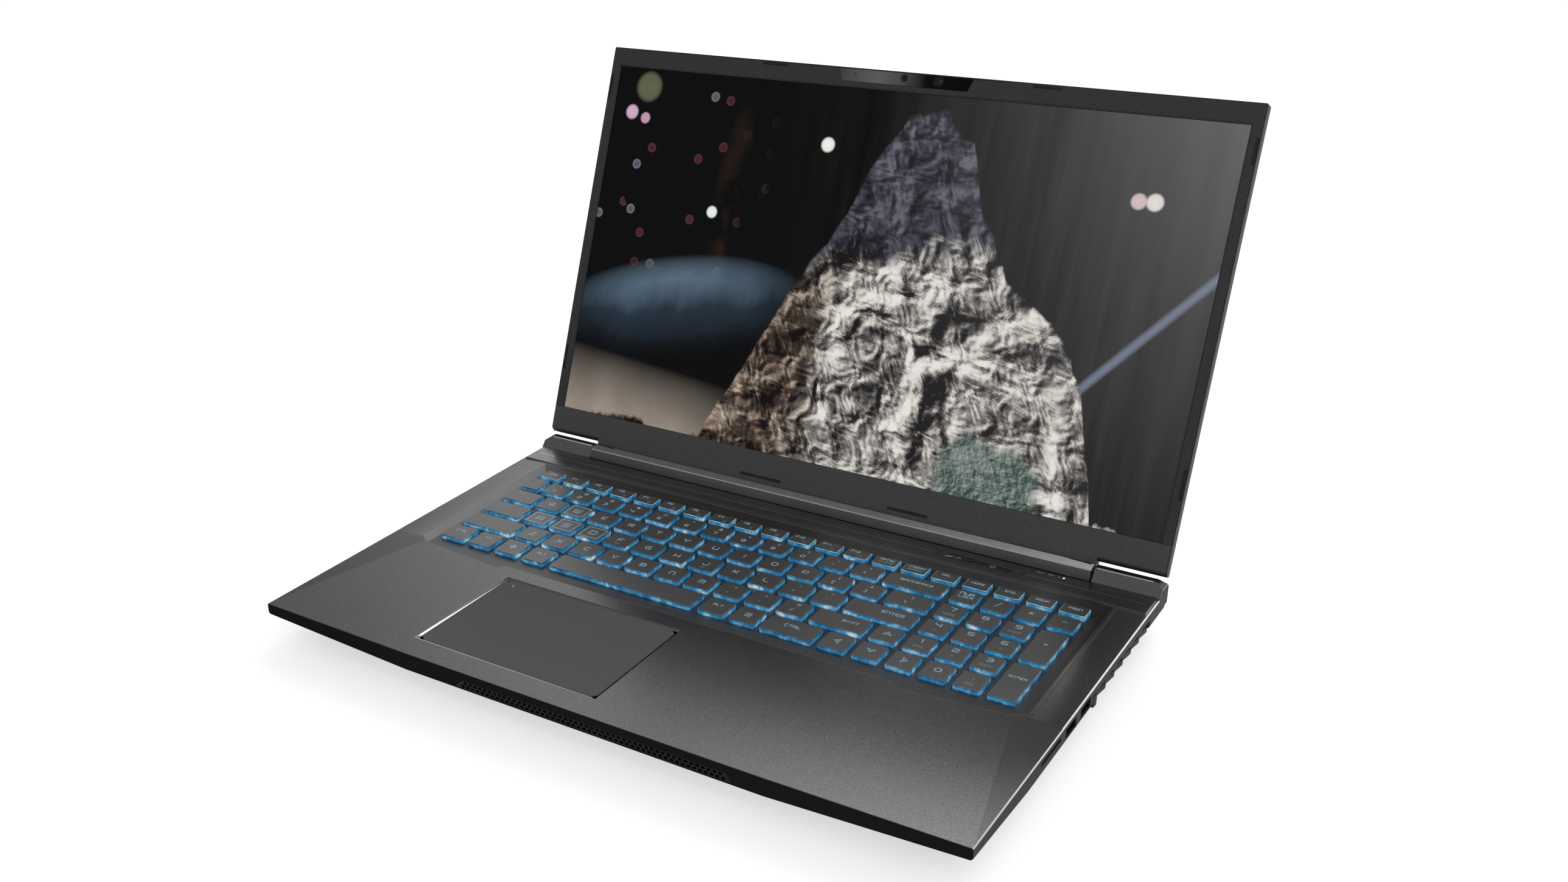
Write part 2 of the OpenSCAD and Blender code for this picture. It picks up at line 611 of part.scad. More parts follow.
// fan casing plan: a circle squared off at three corners
module fan_plan(inset) {
  circle(r = fan_r - inset);
  translate([inset, inset]) square([38 - 2 * inset, 38 - 2 * inset]);
  translate([inset - 36, inset]) square([37 - 2 * inset, 38 - 2 * inset]);
  translate([inset, inset - 36]) square([38 - 2 * inset, 38 - 2 * inset]);
}
module fan_housing() translate([fan_x, fan_y, 4.6]) union() {
  difference() {
    linear_extrude(11) fan_plan(0);
    translate([0, 0, 0.8]) linear_extrude(9.4) fan_plan(1.2);
    // upper inlet, then the lower one crossed by three spokes
    translate([0, 0, 10]) cylinder(r = 22, h = 2);
    translate([0, 0, -1]) difference() {
      cylinder(r = 26, h = 3);
      cylinder(r = hub_r, h = 3);
      for (angle = [0, 120, 240]) rotate([0, 0, angle]) box(-1.5, 1.5, 0, 30, 0, 3);
    }
    // rear and outboard outlets
    box(-30, 36, 30, 50, 1.2, 9.8);
    box(30, 50, -30, 36, 1.2, 8.8);
  }
  cylinder(r = shaft_r, h = 8.4);
}
module fan_housings() color([0.10, 0.10, 0.11]) base_frame() both_sides() fan_housing();
module fan_rotor() translate([fan_x, fan_y, 6.2]) difference() {
  union() {
    cylinder(r = hub_r, h = 8);
    for (i = [0:blade_count - 1])
      rotate([0, 0, i * 360 / blade_count]) translate([10.4, 0, 0.4]) rotate([0, 0, 28])
        box(0, 21, -0.35, 0.35, 0, 7.2);
    // ring tying the blades together
    translate([0, 0, 3.6]) difference() {
      cylinder(r = 25, h = 0.7);
      translate([0, 0, -1]) cylinder(r = 23.8, h = 3);
    }
  }
  translate([0, 0, -1]) cylinder(r = shaft_r + run_gap, h = 8.2);
}
module fan_left_rotor() color([0.06, 0.06, 0.07]) base_frame() mirror([1, 0, 0]) fan_rotor();
module fan_right_rotor() color([0.06, 0.06, 0.07]) base_frame() fan_rotor();

// ---------- plug-in cards under the motherboard ----------
module card_board(x0, x1, y0, y1) box(x0, x1, y0, y1, board_z - 2.6, board_z - 1.8);
module card_chip(x0, x1, y0, y1, depth = 3.8) box(x0, x1, y0, y1, board_z - depth, board_z - 2.5);
module card_socket(x0, x1, y0, y1) box(x0, x1, y0, y1, board_z - 3.2, board_z);
module memory_card(x0, x1, y0, y1, chips) union() {
  chip_pitch = (x1 - x0 - 4) / chips;
  card_board(x0, x1, y0, y1);
  for (i = [0:chips - 1])
    card_chip(x0 + 3 + i * chip_pitch, x0 + 1 + (i + 1) * chip_pitch, y0 + 4, y1 - 6);
  card_socket(x0 + 1, x1 - 1, y1 - 4, y1 + 2);
}
module memory_modules() color([0.04, 0.26, 0.14]) base_frame() {
  memory_card(-76, -8.4, 114, 144, 4);
  memory_card(8, 75.6, 114, 144, 4);
}
module ssd_module() color([0.05, 0.09, 0.2]) base_frame() union() {
  card_board(-76, 4, 152, 174);
  for (x = [-70, -50, -30]) card_chip(x, x + 15, 155, 171);
  card_socket(1, 7, 153, 173);
}
module wifi_card() color([0.45, 0.46, 0.48]) base_frame() union() {
  card_board(20, 50, 152, 174);
  card_chip(24, 44, 155, 171, depth = 3.9);
  card_socket(47, 53, 153, 173);
}

// ---------- drive, battery and speakers ----------
module hard_drive() color([0.6, 0.6, 0.62]) base_frame() difference() {
  box(77, 147, 24, 124, 5, 12);
  box(80, 144, 27, 119, 11.6, 13);
  translate([112, 70, 10.8]) cylinder(r = 12, h = 2);
}
battery_x0 = -144;
battery_x1 = 70;
cell_pitch = (battery_x1 - battery_x0) / 4;
module battery_pack() color([0.07, 0.07, 0.08]) base_frame() difference() {
  union() {
    box(battery_x0, battery_x1, 32, 88, 5, 16.2);
    box(-40, -10, 87.5, 88.6, 8, 13);
  }
  // grooves between the cells, above and below
  for (i = [1:3])
    let (x = battery_x0 + i * cell_pitch) {
      box(x - 0.6, x + 0.6, 31, 89, 15.6, 17);
      box(x - 0.6, x + 0.6, 31, 89, 4, 5.6);
    }
}
module speakers() color([0.05, 0.05, 0.05]) base_frame() both_sides() difference() {
  box(151, 178, 38, 87, 5, 13.8);
  translate([164.5, 62, 4]) cylinder(r = 10.5, h = 2.2);
  translate([164.5, 62, 5.6]) cylinder(r = 7, h = 2.2);
}

// ---------- ports ----------
// a socket shell in the right wall, opening outward, with its tongue
module socket(y0, y1, z1, wall, tongue) {
  x0 = half_w - 14.4;
  x1 = half_w - 0.5;
  z0 = deck_z - 8.4;
  difference() {
    box(x0, x1, y0, y1, z0, z1);
    box(x0 + 2, x1 + 1, y0 + wall, y1 - wall, z0 + wall, z1 - wall);
  }
  box(x0 + 1, x1 - 1.6, y0 + 1.4, y1 - 1.4, z1 - wall - tongue - 0.8, z1 - wall - 0.8);
}
module usb_socket(y) socket(y, y + usb_w, deck_z - 3.2, wall = 0.35, tongue = 1.5);
module usb_ports() color([0.66, 0.67, 0.69]) base_frame() {
  for (y = usb_right_y) usb_socket(y);
  mirror([1, 0, 0]) usb_socket(usb_left_y);
}
module lan_port() color([0.12, 0.12, 0.13]) base_frame()
  mirror([1, 0, 0]) socket(119.2, 134.2, deck_z - 2.3, wall = 0.8, tongue = 0.8);
module card_reader() color([0.60, 0.61, 0.62]) base_frame() difference() {
  box(half_w - 21, half_w - 2.0, 73.4, 98.9, deck_z - 6.4, deck_z - 2.4);
  box(half_w - 19.5, half_w, 74.4, 98, deck_z - 5.5, deck_z - 3.3);
}
module audio_jacks() color([0.10, 0.10, 0.11]) base_frame() for (y = jack_y) difference() {
  union() {
    box(-half_w + 2, -half_w + 16, y - 4.4, y + 4.4, board_top_z, deck_z - 2.4);
    translate([0, y, jack_z]) x_cyl(3.0, -half_w + 0.4, -half_w + 3);
  }
  translate([0, y, jack_z]) x_cyl(1.8, -half_w - 1, -half_w + 14.4);
}
module rear_ports() color([0.6, 0.61, 0.63]) base_frame() {
  for (rect = rear_port_rects) difference() {
    rear_port_box(rect, 0, 243, 260);
    rear_port_box(rect, 0.4, 245, 261);
  }
  difference() {
    union() {
      box(25, 35, 243, 255.4, 5.6, 13);
      round_port_cyl(3.2, 255, 5);
    }
    round_port_cyl(2.75, 247, 14);
  }
}

// ---------- hinge ----------
module hinge_brackets() color([0.55, 0.56, 0.58]) base_frame() both_sides() difference() {
  union() {
    x_prism([[243.5, 17], [243.5, deck_z + 2], [245.7, deck_z + 4.3], [248.5, deck_z + 4.3],
      [250.7, deck_z + 1.8], [250.7, 15.65]], 165, 168);
    box(165, 188, 236.6, 250.7, 15.65, 17.05);
    on_axis() x_cyl(pin_r, 148.4, 166);
  }
  at_points(bracket_screw_points, 14) cylinder(r = 1.15, h = 5);
}
// outer and inner section of the bar between the hinge mounds, [s, o]
bar_outer = [[-27.25, -6.1], [-21.6, -6.75], [-18.3, -1.8], [-18.55, 0], [-18.55, 6.5],
  [-23.2, 6.5], [-27.6, 4.4], [-30.3, 0.2], [-29.7, -3.2]];
bar_inner = [[-26.4, -4.9], [-22.3, -5.4], [-19.7, -1.4], [-19.8, 5.3], [-22.9, 5.3],
  [-26.7, 3.5], [-29.0, 0.0], [-28.5, -2.7]];
cable_slot_x = [-76.5, -53.5];
arm_x0 = 147.2;
arm_x1 = 158.4;
arm_screw_x = 152.8;
arm_screw_s = -12;
module bar_prism(section, half_length) {
  x_prism([for (p = section) [-p[0], p[1]]], -half_length, half_length);
}
module hinge_bar() color([0.25, 0.26, 0.27]) lid_frame() difference() {
  bar_prism(bar_outer, bar_x);
  bar_prism(bar_inner, bar_x - 1.2);
  both_sides() on_lid_axis() x_cyl(pin_hole_r, bar_x - 2, bar_x + 1);
  both_sides() lid_box(146.6, 158.9, -20.5, -18, -2.2, 5.5);
  lid_box(cable_slot_x[0], cable_slot_x[1], -20.5, -18, 1.8, 3.3);
}
module hinge_arms() color([0.5, 0.51, 0.53]) lid_frame() both_sides() difference() {
  union() {
    on_lid_axis() x_cyl(3.3, arm_x0, arm_x1);
    lid_box(arm_x0, arm_x1, axis_s, 24, 4.0, 4.8);
  }
  on_lid_axis() x_cyl(pin_r + run_gap, 146, 160);
  for (s = [arm_screw_s, 0, 16]) translate([arm_screw_x, -s, 3]) cylinder(r = 1.0, h = 3);
}
module lid_screws() color([0.3, 0.3, 0.31]) lid_frame() both_sides()
  translate([arm_screw_x, -arm_screw_s, 3.2]) {
    cylinder(r = 1.9, h = 0.8);
    translate([0, 0, 0.7]) cylinder(r = 0.85, h = 2.0);
  }

// ---------- lid ----------
foot_s = -16.9;              // lower edge of the lid outside the hinge bar
bezel_half_w = 196.65;
camera_s = 222.5;
bumper_gap = 0.1;
// bumpers, [x0, x1, s0, s1]: right-hand ones of mirrored pairs, and two below the screen
bumper_pairs = [[195.1, 196.2, 195, 208.6], [195.1, 196.2, 23.6, 39.2],
  [75.2, 90.8, 223.6, 224.7]];
bumpers_low = [[-57, -30.2, -15.5, -14.3], [39.1, 63.3, -15.5, -14.3]];
module bumper_boxes(rects, grow, o0, o1) {
  for (b = rects) lid_box(b[0] - grow, b[1] + grow, b[2] - grow, b[3] + grow, o0, o1);
}
// bevelled lower edge outside the hinge bar, shared by bezel and cover
module lid_foot_cut() both_sides()
  x_prism([[14.2, -1], [14.2, 0], [-foot_s, 3.05], [-foot_s, 8], [20, 8], [20, -1]], bar_x, 200);
module lid_back_cover() color([0.22, 0.225, 0.235]) lid_frame() difference() {
  union() {
    lid_prism([[-lid_half_w, foot_s], [-bar_x, foot_s], [-bar_x, -18.55], [bar_x, -18.55],
      [bar_x, foot_s], [lid_half_w, foot_s], [lid_half_w, 225.2], [lid_half_w - 0.8, 226],
      [-lid_half_w + 0.8, 226], [-lid_half_w, 225.2]], 0.3, lid_t);
    // raised panels on the back
    both_sides() lid_prism([[28, 20], [150, 20], [170, 60], [120, 200], [60, 200]],
      lid_t - 0.1, lid_t + 0.5);
  }
  // bezel seat and inner cavity
  lid_box(-196.75, 196.75, -19, 225.5, -1, 1.4);
  lid_box(-195.2, 195.2, -15.4, 224.2, 1.3, lid_t - 1.2);
  lid_foot_cut();
  // slots for the hinge arms and the cable
  both_sides() lid_box(146.8, 158.8, -19, -15, 1.3, 5.4);
  lid_box(cable_slot_x[0], cable_slot_x[1], -19, -15, 1.3, 3.3);
  both_sides() translate([arm_screw_x, -arm_screw_s, 4]) cylinder(r = 0.9, h = 2.0);
}
module screen_bezel() color([0.21, 0.21, 0.21]) lid_frame() difference() {
  lid_box(-bezel_half_w, bezel_half_w, 0.1, 225.4, 0, 1.4);
  // screen opening, bevelled on all four sides
  x_prism([[1, -1], [1, 0], [0.1, 0.9], [0.1, 2], [-screen_h - 0.1, 2],
    [-screen_h - 0.1, 0.9], [-screen_h - 1, 0], [-screen_h - 1, -1]],
    -screen_half_w, screen_half_w);
  y_prism([[-screen_half_w - 0.9, -1], [-screen_half_w - 0.9, 0], [-screen_half_w, 0.9],
    [-screen_half_w, 2], [screen_half_w, 2], [screen_half_w, 0.9], [screen_half_w + 0.9, 0],
    [screen_half_w + 0.9, -1]], -screen_h, 1);
  lid_prism([[-41.1, 225.2], [-38.4, 218.1], [38.4, 218.1], [41.1, 225.2]], -1, 0.7);
  translate([0, -camera_s, 0]) cylinder(r = 2.6, h = 3);
  both_sides() bumper_boxes(bumper_pairs, bumper_gap, -1, 1.05);
}
module lower_bezel() color([0.21, 0.21, 0.21]) lid_frame() difference() {
  lid_prism([[-bezel_half_w, foot_s], [-bar_x, foot_s], [-bar_x, -18.5], [bar_x, -18.5],
    [bar_x, foot_s], [bezel_half_w, foot_s], [bezel_half_w, -0.1], [-bezel_half_w, -0.1]],
    0, 1.35);
  lid_foot_cut();
  bumper_boxes(bumpers_low, bumper_gap, -1, 1.05);
}
module bezel_bumpers() color([0.04, 0.04, 0.04]) lid_frame() {
  both_sides() bumper_boxes(bumper_pairs, 0, -0.5, 1.0);
  bumper_boxes(bumpers_low, 0, -0.5, 1.0);
}
module lcd_panel() color([0.03, 0.03, 0.04]) lid_frame() difference() {
  lid_box(-194.4, 194.4, -4, 218.6, 1.45, 3.9);
  lid_box(-160, 160, 1, 40, 3.6, 5);
}
module camera_window() color([0.03, 0.03, 0.03]) lid_frame() difference() {
  lid_prism([[-40.9, 225.1], [-38.6, 218.9], [-37.9, 218.25], [37.9, 218.25], [38.6, 218.9],
    [40.9, 225.1]], -0.05, 0.65);
  translate([0, -camera_s, -1]) cylinder(r = 2.4, h = 3);
  for (x = [-30.4, 30.4]) translate([x, -camera_s, -1]) cylinder(r = 0.5, h = 3);
}
module camera_module() color([0.08, 0.1, 0.09]) lid_frame() union() {
  lid_box(-34, 34, 219.2, 223.9, 1.5, 2.4);
  translate([0, -222.0, 1.4]) cylinder(r = 2.1, h = 2.2);
  translate([0, -camera_s, 0.1]) cylinder(r = 2.3, h = 1.25);
  translate([0, -camera_s, 1.2]) cylinder(r = 1.5, h = 0.6);
}
module wifi_antennas() color([0.75, 0.7, 0.4]) lid_frame()
  both_sides() lid_box(110, 165, 219.2, 223.8, 1.5, 1.8);
module display_cable() color([0.12, 0.12, 0.12]) lid_frame() union() {
  lid_box(-74, -56, axis_s, -4.1, 2.1, 2.7);
  on_lid_axis() x_cyl(1.7, -110, -56);
}

bottom_cover();
top_case();
front_grille();
side_vents();
keyboard_plate();
dome_sheet();
touchpad_bracket();
button_board();
motherboard();
processor_chips();
heat_pipes();
heatsink_fins();
fan_housings();
fan_left_rotor();
fan_right_rotor();
memory_modules();
ssd_module();
hard_drive();
wifi_card();
battery_pack();
speakers();
usb_ports();
card_reader();
lan_port();
audio_jacks();
rear_ports();
rubber_feet();
case_screws();
hinge_brackets();
touchpad();
power_button();
fan_mode_button();
lid_back_cover();
screen_bezel();
lower_bezel();
lcd_panel();
hinge_bar();
hinge_arms();
lid_screws();
camera_window();
camera_module();
bezel_bumpers();
wifi_antennas();
display_cable();
escape_key();
function_keys();
number_keys();
backspace_key();
upper_letter_keys();
home_letter_keys();
enter_key();
left_shift_key();
lower_letter_keys();
modifier_keys();
space_bar();
up_arrow_key();
left_arrow_key();
down_arrow_key();
right_arrow_key();
numpad_keys();
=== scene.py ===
"""An open laptop on a pale floor: base with keyboard and touchpad, and a lid with a lit screen.

In the world frame +X is the laptop's right, +Y its back and +Z up, with the table at Z = 0.
Sizes are in millimetres unless a comment says otherwise. Base pieces are laid out with
base_point and lid pieces with lid_point, which both return metres.
"""
import math

import bmesh
import bpy
from mathutils import Matrix, Vector


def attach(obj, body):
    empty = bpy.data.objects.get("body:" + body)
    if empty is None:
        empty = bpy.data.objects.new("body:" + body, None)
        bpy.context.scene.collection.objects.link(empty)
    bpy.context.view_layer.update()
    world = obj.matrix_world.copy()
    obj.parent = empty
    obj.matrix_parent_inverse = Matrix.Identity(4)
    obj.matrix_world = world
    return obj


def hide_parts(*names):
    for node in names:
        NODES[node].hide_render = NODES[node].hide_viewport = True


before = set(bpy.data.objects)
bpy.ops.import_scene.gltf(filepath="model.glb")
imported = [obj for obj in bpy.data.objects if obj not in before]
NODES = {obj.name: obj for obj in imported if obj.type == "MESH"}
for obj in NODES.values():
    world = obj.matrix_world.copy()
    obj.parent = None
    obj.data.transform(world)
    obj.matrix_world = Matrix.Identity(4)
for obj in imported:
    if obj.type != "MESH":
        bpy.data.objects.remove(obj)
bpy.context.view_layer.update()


MATERIALS = {}

# ------------------------------------------------------------------ frames
DECK = 24.0                         # deck height above the table
ORIGIN_Y = 130                      # world origin, measured back from the front corners
HINGE_Y, HINGE_Z = 247.7, 26.5      # hinge axis in base terms
LID_FOOT_Y, LID_FACE_Z = 225.5, 25.0    # foot and front face of the screen with the lid shut
OPENING = math.radians(110.96)
COS, SIN = math.cos(-OPENING), math.sin(-OPENING)


def base_point(x, y, z):
    """Base point: right, behind the front corners, above the table."""
    return Vector((x / 1000, (y - ORIGIN_Y) / 1000, z / 1000))


def lid_point(x, up, behind):
    """Lid point: right, up the screen, behind the lid's front face."""
    dy, dz = (LID_FOOT_Y - up) - HINGE_Y, LID_FACE_Z + behind - HINGE_Z
    return Vector((x / 1000, (HINGE_Y + dy * COS - dz * SIN - ORIGIN_Y) / 1000,
                   (HINGE_Z + dy * SIN + dz * COS) / 1000))


def lid_front(x, up, height):
    """Lid point with the height measured out from the front face."""
    return lid_point(x, up, -height)


def lid_terms(point):
    """World point in metres back to the terms of lid_point."""
    y, z = point.y * 1000 + ORIGIN_Y - HINGE_Y, point.z * 1000 - HINGE_Z
    dy, dz = y * COS + z * SIN, -y * SIN + z * COS
    return point.x * 1000, LID_FOOT_Y - (dy + HINGE_Y), dz + HINGE_Z - LID_FACE_Z


# ------------------------------------------------------------------ node helpers
def grey(value):
    return (value, value, value)


class Nodes:
    """A cleared node tree with short ways to add and link nodes."""

    def __init__(self, tree):
        self.tree = tree
        tree.nodes.clear()
        self.coords = None

    def node(self, kind, **settings):
        node = self.tree.nodes.new(kind)
        for name, value in settings.items():
            setattr(node, name, value)
        return node

    def link(self, source, socket):
        self.tree.links.new(source, socket)

    def feed(self, socket, value):
        """Gives a socket a number, a colour or a link."""
        if isinstance(value, (int, float)):
            socket.default_value = value
        elif isinstance(value, tuple):
            socket.default_value = (*value, 1)
        else:
            self.link(value, socket)

    def coord(self, which="Object"):
        if self.coords is None:
            self.coords = self.node("ShaderNodeTexCoord")
        return self.coords.outputs[which]

    def axes(self, vector):
        split = self.node("ShaderNodeSeparateXYZ")
        self.link(vector, split.inputs[0])
        return split.outputs

    def combine(self, x, y, z):
        node = self.node("ShaderNodeCombineXYZ")
        for socket, value in zip(node.inputs, (x, y, z)):
            self.feed(socket, value)
        return node.outputs[0]

    def mapped(self, vector, setting, value):
        node = self.node("ShaderNodeMapping")
        node.inputs[setting].default_value = value
        self.link(vector, node.inputs["Vector"])
        return node.outputs[0]

    def noise(self, scale, detail=2.0, rough=0.5, vector=None, stretch=None, distortion=0.0):
        vector = vector or self.coord()
        if stretch:
            vector = self.mapped(vector, "Scale", stretch)
        node = self.node("ShaderNodeTexNoise")
        node.inputs["Scale"].default_value = scale
        node.inputs["Detail"].default_value = detail
        node.inputs["Roughness"].default_value = rough
        node.inputs["Distortion"].default_value = distortion
        self.link(vector, node.inputs["Vector"])
        return node.outputs["Fac"]

    def ramp(self, value, stops):
        """Colour ramp; each stop is a position and a grey level or colour."""
        node = self.node("ShaderNodeValToRGB")
        elements = node.color_ramp.elements
        while len(elements) < len(stops):
            elements.new(0.5)
        for element, (position, color) in zip(elements, stops):
            element.position = position
            element.color = (*(color if isinstance(color, tuple) else grey(color)), 1)
        self.link(value, node.inputs[0])
        return node.outputs[0]

    def rise(self, value, start, end):
        """0 below start, 1 above end."""
        return self.ramp(value, [(start, 0.0), (end, 1.0)])

    def fall(self, value, start, end):
        """1 below start, 0 above end."""
        return self.ramp(value, [(start, 1.0), (end, 0.0)])

    def calc(self, operation, first, second=None, clamp=False):
        node = self.node("ShaderNodeMath", operation=operation)
        node.use_clamp = clamp
        for socket, value in zip(node.inputs, (first, second)):
            if value is not None:
                self.feed(socket, value)
        return node.outputs[0]

    def add(self, first, second, clamp=False):
        return self.calc("ADD", first, second, clamp)

    def sub(self, first, second):
        return self.calc("SUBTRACT", first, second)

    def mul(self, first, second):
        return self.calc("MULTIPLY", first, second)

    def div(self, first, second, clamp=False):
        return self.calc("DIVIDE", first, second, clamp)

    def mix(self, factor, first, second, blend="MIX"):
        node = self.node("ShaderNodeMix", data_type="RGBA", blend_type=blend)
        for index, value in ((0, factor), (6, first), (7, second)):
            self.feed(node.inputs[index], value)
        return node.outputs[2]

    def product(self, first, second):
        return self.mix(1.0, first, second, "MULTIPLY")


class Shader(Nodes):
    """A new material with one Principled surface, listed in MATERIALS under its name."""

    def __init__(self, name):
        material = bpy.data.materials.new(name)
        material.use_nodes = True
        super().__init__(material.node_tree)
        output = self.node("ShaderNodeOutputMaterial")
        self.surface = self.node("ShaderNodeBsdfPrincipled")
        self.link(self.surface.outputs[0], output.inputs[0])
        MATERIALS[name] = material

    def set(self, name, value):
        self.feed(self.surface.inputs[name], value)

    def bump(self, height, strength, mm=0.02):
        node = self.node("ShaderNodeBump")
        node.inputs["Strength"].default_value = strength
        node.inputs["Distance"].default_value = mm / 1000
        self.link(height, node.inputs["Height"])
        self.link(node.outputs[0], self.surface.inputs["Normal"])


# ------------------------------------------------------------------ plain finishes
def finish(name, color, rough, metal=0.0, grain=1800, grain_amt=0.12, bump=0.15, bump_mm=0.02,
           var=0.08, rough_var=0.08, spec=0.5, stretch=None, painted_light_stops=None):
    """Fine grain in colour and bump, slow variation in colour and roughness.

    grain is the noise scale; grain_amt, var and rough_var are the half ranges of the grain,
    the slow colour and the roughness; painted_light_stops lists brightness stops from front to
    back, painted light and shade along the deck.
    """
    mat = Shader(name)
    fine = mat.noise(grain, detail=2.0, rough=0.6, stretch=stretch)
    slow = mat.noise(25, detail=3.0)
    base = mat.mix(mat.rise(slow, 0.3, 0.7), tuple(c * (1 - var) for c in color),
                   tuple(min(1, c * (1 + var)) for c in color))
    if painted_light_stops:
        # maps the depth of the deck, in metres, to about 0..1
        along = mat.add(mat.mul(mat.axes(mat.coord())[1], 4.0), 0.52)
        # painted light and shade: brightness graded from front to back
        base = mat.product(base, mat.ramp(along, painted_light_stops))
    grained = mat.mix(mat.rise(fine, 0.30, 0.70), grey(1 - grain_amt), grey(1 + grain_amt))
    mat.set("Base Color", mat.product(base, grained))
    mat.set("Roughness", mat.add(mat.mul(slow, rough_var * 2), rough - rough_var, clamp=True))
    mat.set("Metallic", metal)
    mat.set("Specular IOR Level", spec)
    if bump:
        mat.bump(fine, bump, bump_mm)


def glow(name, color, strength, base=(0.02, 0.02, 0.02), scale=400, amount=0.2):
    """Lit ink or lamp; amount is how far the noise varies the emitted colour."""
    mat = Shader(name)
    lit = mat.mix(mat.rise(mat.noise(scale), 0.35, 0.65),
                  tuple(c * (1 - amount) for c in color),
                  tuple(min(1, c * (1 + amount)) for c in color))
    mat.set("Base Color", base)
    mat.set("Emission Color", lit)
    mat.set("Emission Strength", strength)
    mat.set("Roughness", 0.4)


COAT = dict(metal=0.95, grain=2600, bump_mm=0.03, var=0.02, rough_var=0.02)
DECK_COAT = dict(rough=0.25, grain_amt=0.34, bump=0.22, **COAT)
BEZEL = dict(rough=0.70, grain=2200, grain_amt=0.3, bump=0.45, bump_mm=0.04, var=0.02,
             rough_var=0.03)
GLINT = dict(grain=900, grain_amt=0.08, bump=0.08, var=0.03)

finish("deck_coat", (0.185, 0.185, 0.188), **DECK_COAT)
# shallow side facets: painted shade on the left facet; on the right, painted shade at the front
# turning to painted light toward the back
finish("deck_coat_facet", (0.38, 0.38, 0.385), **DECK_COAT,
       painted_light_stops=[(0.0, 0.36), (0.36, 0.38), (0.60, 0.46), (0.80, 0.50)])
finish("deck_coat_facet_right", (0.38, 0.38, 0.385), **DECK_COAT,
       painted_light_stops=[(0.0, 0.37), (0.30, 0.38), (0.44, 0.56), (0.60, 0.80), (0.78, 1.0)])
finish("rear_strip_coat", (0.275, 0.275, 0.28), rough=0.27, grain_amt=0.30, bump=0.2, **COAT)
finish("front_lip_black", (0.017, 0.017, 0.0172), rough=0.60, grain=2400, grain_amt=0.15,
       bump=0.1, spec=0.0)
finish("side_wall_coat", (0.050, 0.050, 0.051), rough=0.45, metal=0.7, grain=2600)
finish("cut_edge", (0.78, 0.78, 0.79), rough=0.22, metal=1.0, grain=900, grain_amt=0.05,
       bump=0.08, stretch=(0.1, 1, 1), var=0.02, rough_var=0.04)
finish("base_moulding", (0.016, 0.016, 0.017), rough=0.62, grain=1500, grain_amt=0.2, bump=0.4,
       bump_mm=0.05)
# left wall of the key well: lighter than the well, a painted highlight of the wall catching light
finish("well_side_bevel", (0.30, 0.30, 0.305), rough=0.45, metal=0.25, grain=2400,
       grain_amt=0.2, bump=0.2, spec=0.2)
# key well: darker than the deck's coat, painted shade in the recess
finish("key_well", (0.125, 0.125, 0.127), rough=0.36, metal=0.92, grain=2400, grain_amt=0.18,
       bump=0.2)
finish("lower_bezel_grain", (0.098, 0.098, 0.099), spec=0.05, **BEZEL)
finish("bezel_grain", (0.060, 0.060, 0.061), spec=0.08, **BEZEL)
finish("lid_coat", (0.120, 0.121, 0.125), rough=0.38, metal=0.9, grain=2600, grain_amt=0.16,
       bump=0.2, rough_var=0.02)
finish("bar_coat", (0.150, 0.150, 0.153), rough=0.36, metal=0.92, grain=2600, grain_amt=0.16,
       rough_var=0.02)
finish("pad_film", (0.155, 0.155, 0.155), rough=0.70, grain=3500, grain_amt=0.05, bump=0.05,
       var=0.01, rough_var=0.02, spec=0.0)
finish("soft_rubber", (0.012, 0.012, 0.012), rough=0.75, grain=1600, grain_amt=0.25, bump=0.3)
finish("gloss_black", (0.004, 0.004, 0.0045), rough=0.12, grain=300, grain_amt=0.05, bump=0.0,
       spec=0.35, rough_var=0.02)
finish("port_shell_dark", (0.035, 0.035, 0.037), rough=0.4, metal=0.7, grain=700, grain_amt=0.1,
       bump=0.1)
finish("stamped_steel", (0.50, 0.50, 0.52), rough=0.3, metal=1.0, grain=700, grain_amt=0.08,
       bump=0.12, stretch=(1, 0.08, 1))
finish("black_steel", (0.10, 0.10, 0.105), rough=0.35, metal=0.9, grain=1200, grain_amt=0.1,
       bump=0.1)
finish("moulded_black", (0.018, 0.018, 0.019), rough=0.5, grain=1400, grain_amt=0.2, bump=0.25)
finish("vent_moulding", (0.022, 0.022, 0.023), rough=0.45, grain_amt=0.15, bump=0.2)
finish("stamped_sheet", (0.55, 0.56, 0.58), rough=0.38, metal=1.0, grain=500, grain_amt=0.06,
       bump=0.1, stretch=(0.1, 1, 1))
finish("silicone", (0.40, 0.50, 0.58), rough=0.55, grain=900, grain_amt=0.08, bump=0.1)
finish("chip_package", (0.03, 0.03, 0.032), rough=0.35, grain=1200, grain_amt=0.1, bump=0.05)
finish("drawn_copper", (0.72, 0.36, 0.20), rough=0.28, metal=1.0, grain=600, grain_amt=0.1,
       bump=0.1, var=0.12, stretch=(0.15, 1, 1))
finish("battery_film", (0.02, 0.02, 0.022), rough=0.33, grain=500, grain_amt=0.1, bump=0.12)
finish("cable_jacket", (0.03, 0.03, 0.03), rough=0.5, grain=1200, grain_amt=0.15, bump=0.2,
       stretch=(1, 6, 1))
finish("grille_black", (0.012, 0.012, 0.012), rough=0.38, metal=0.2, grain=1500, grain_amt=0.2,
       bump=0.2)


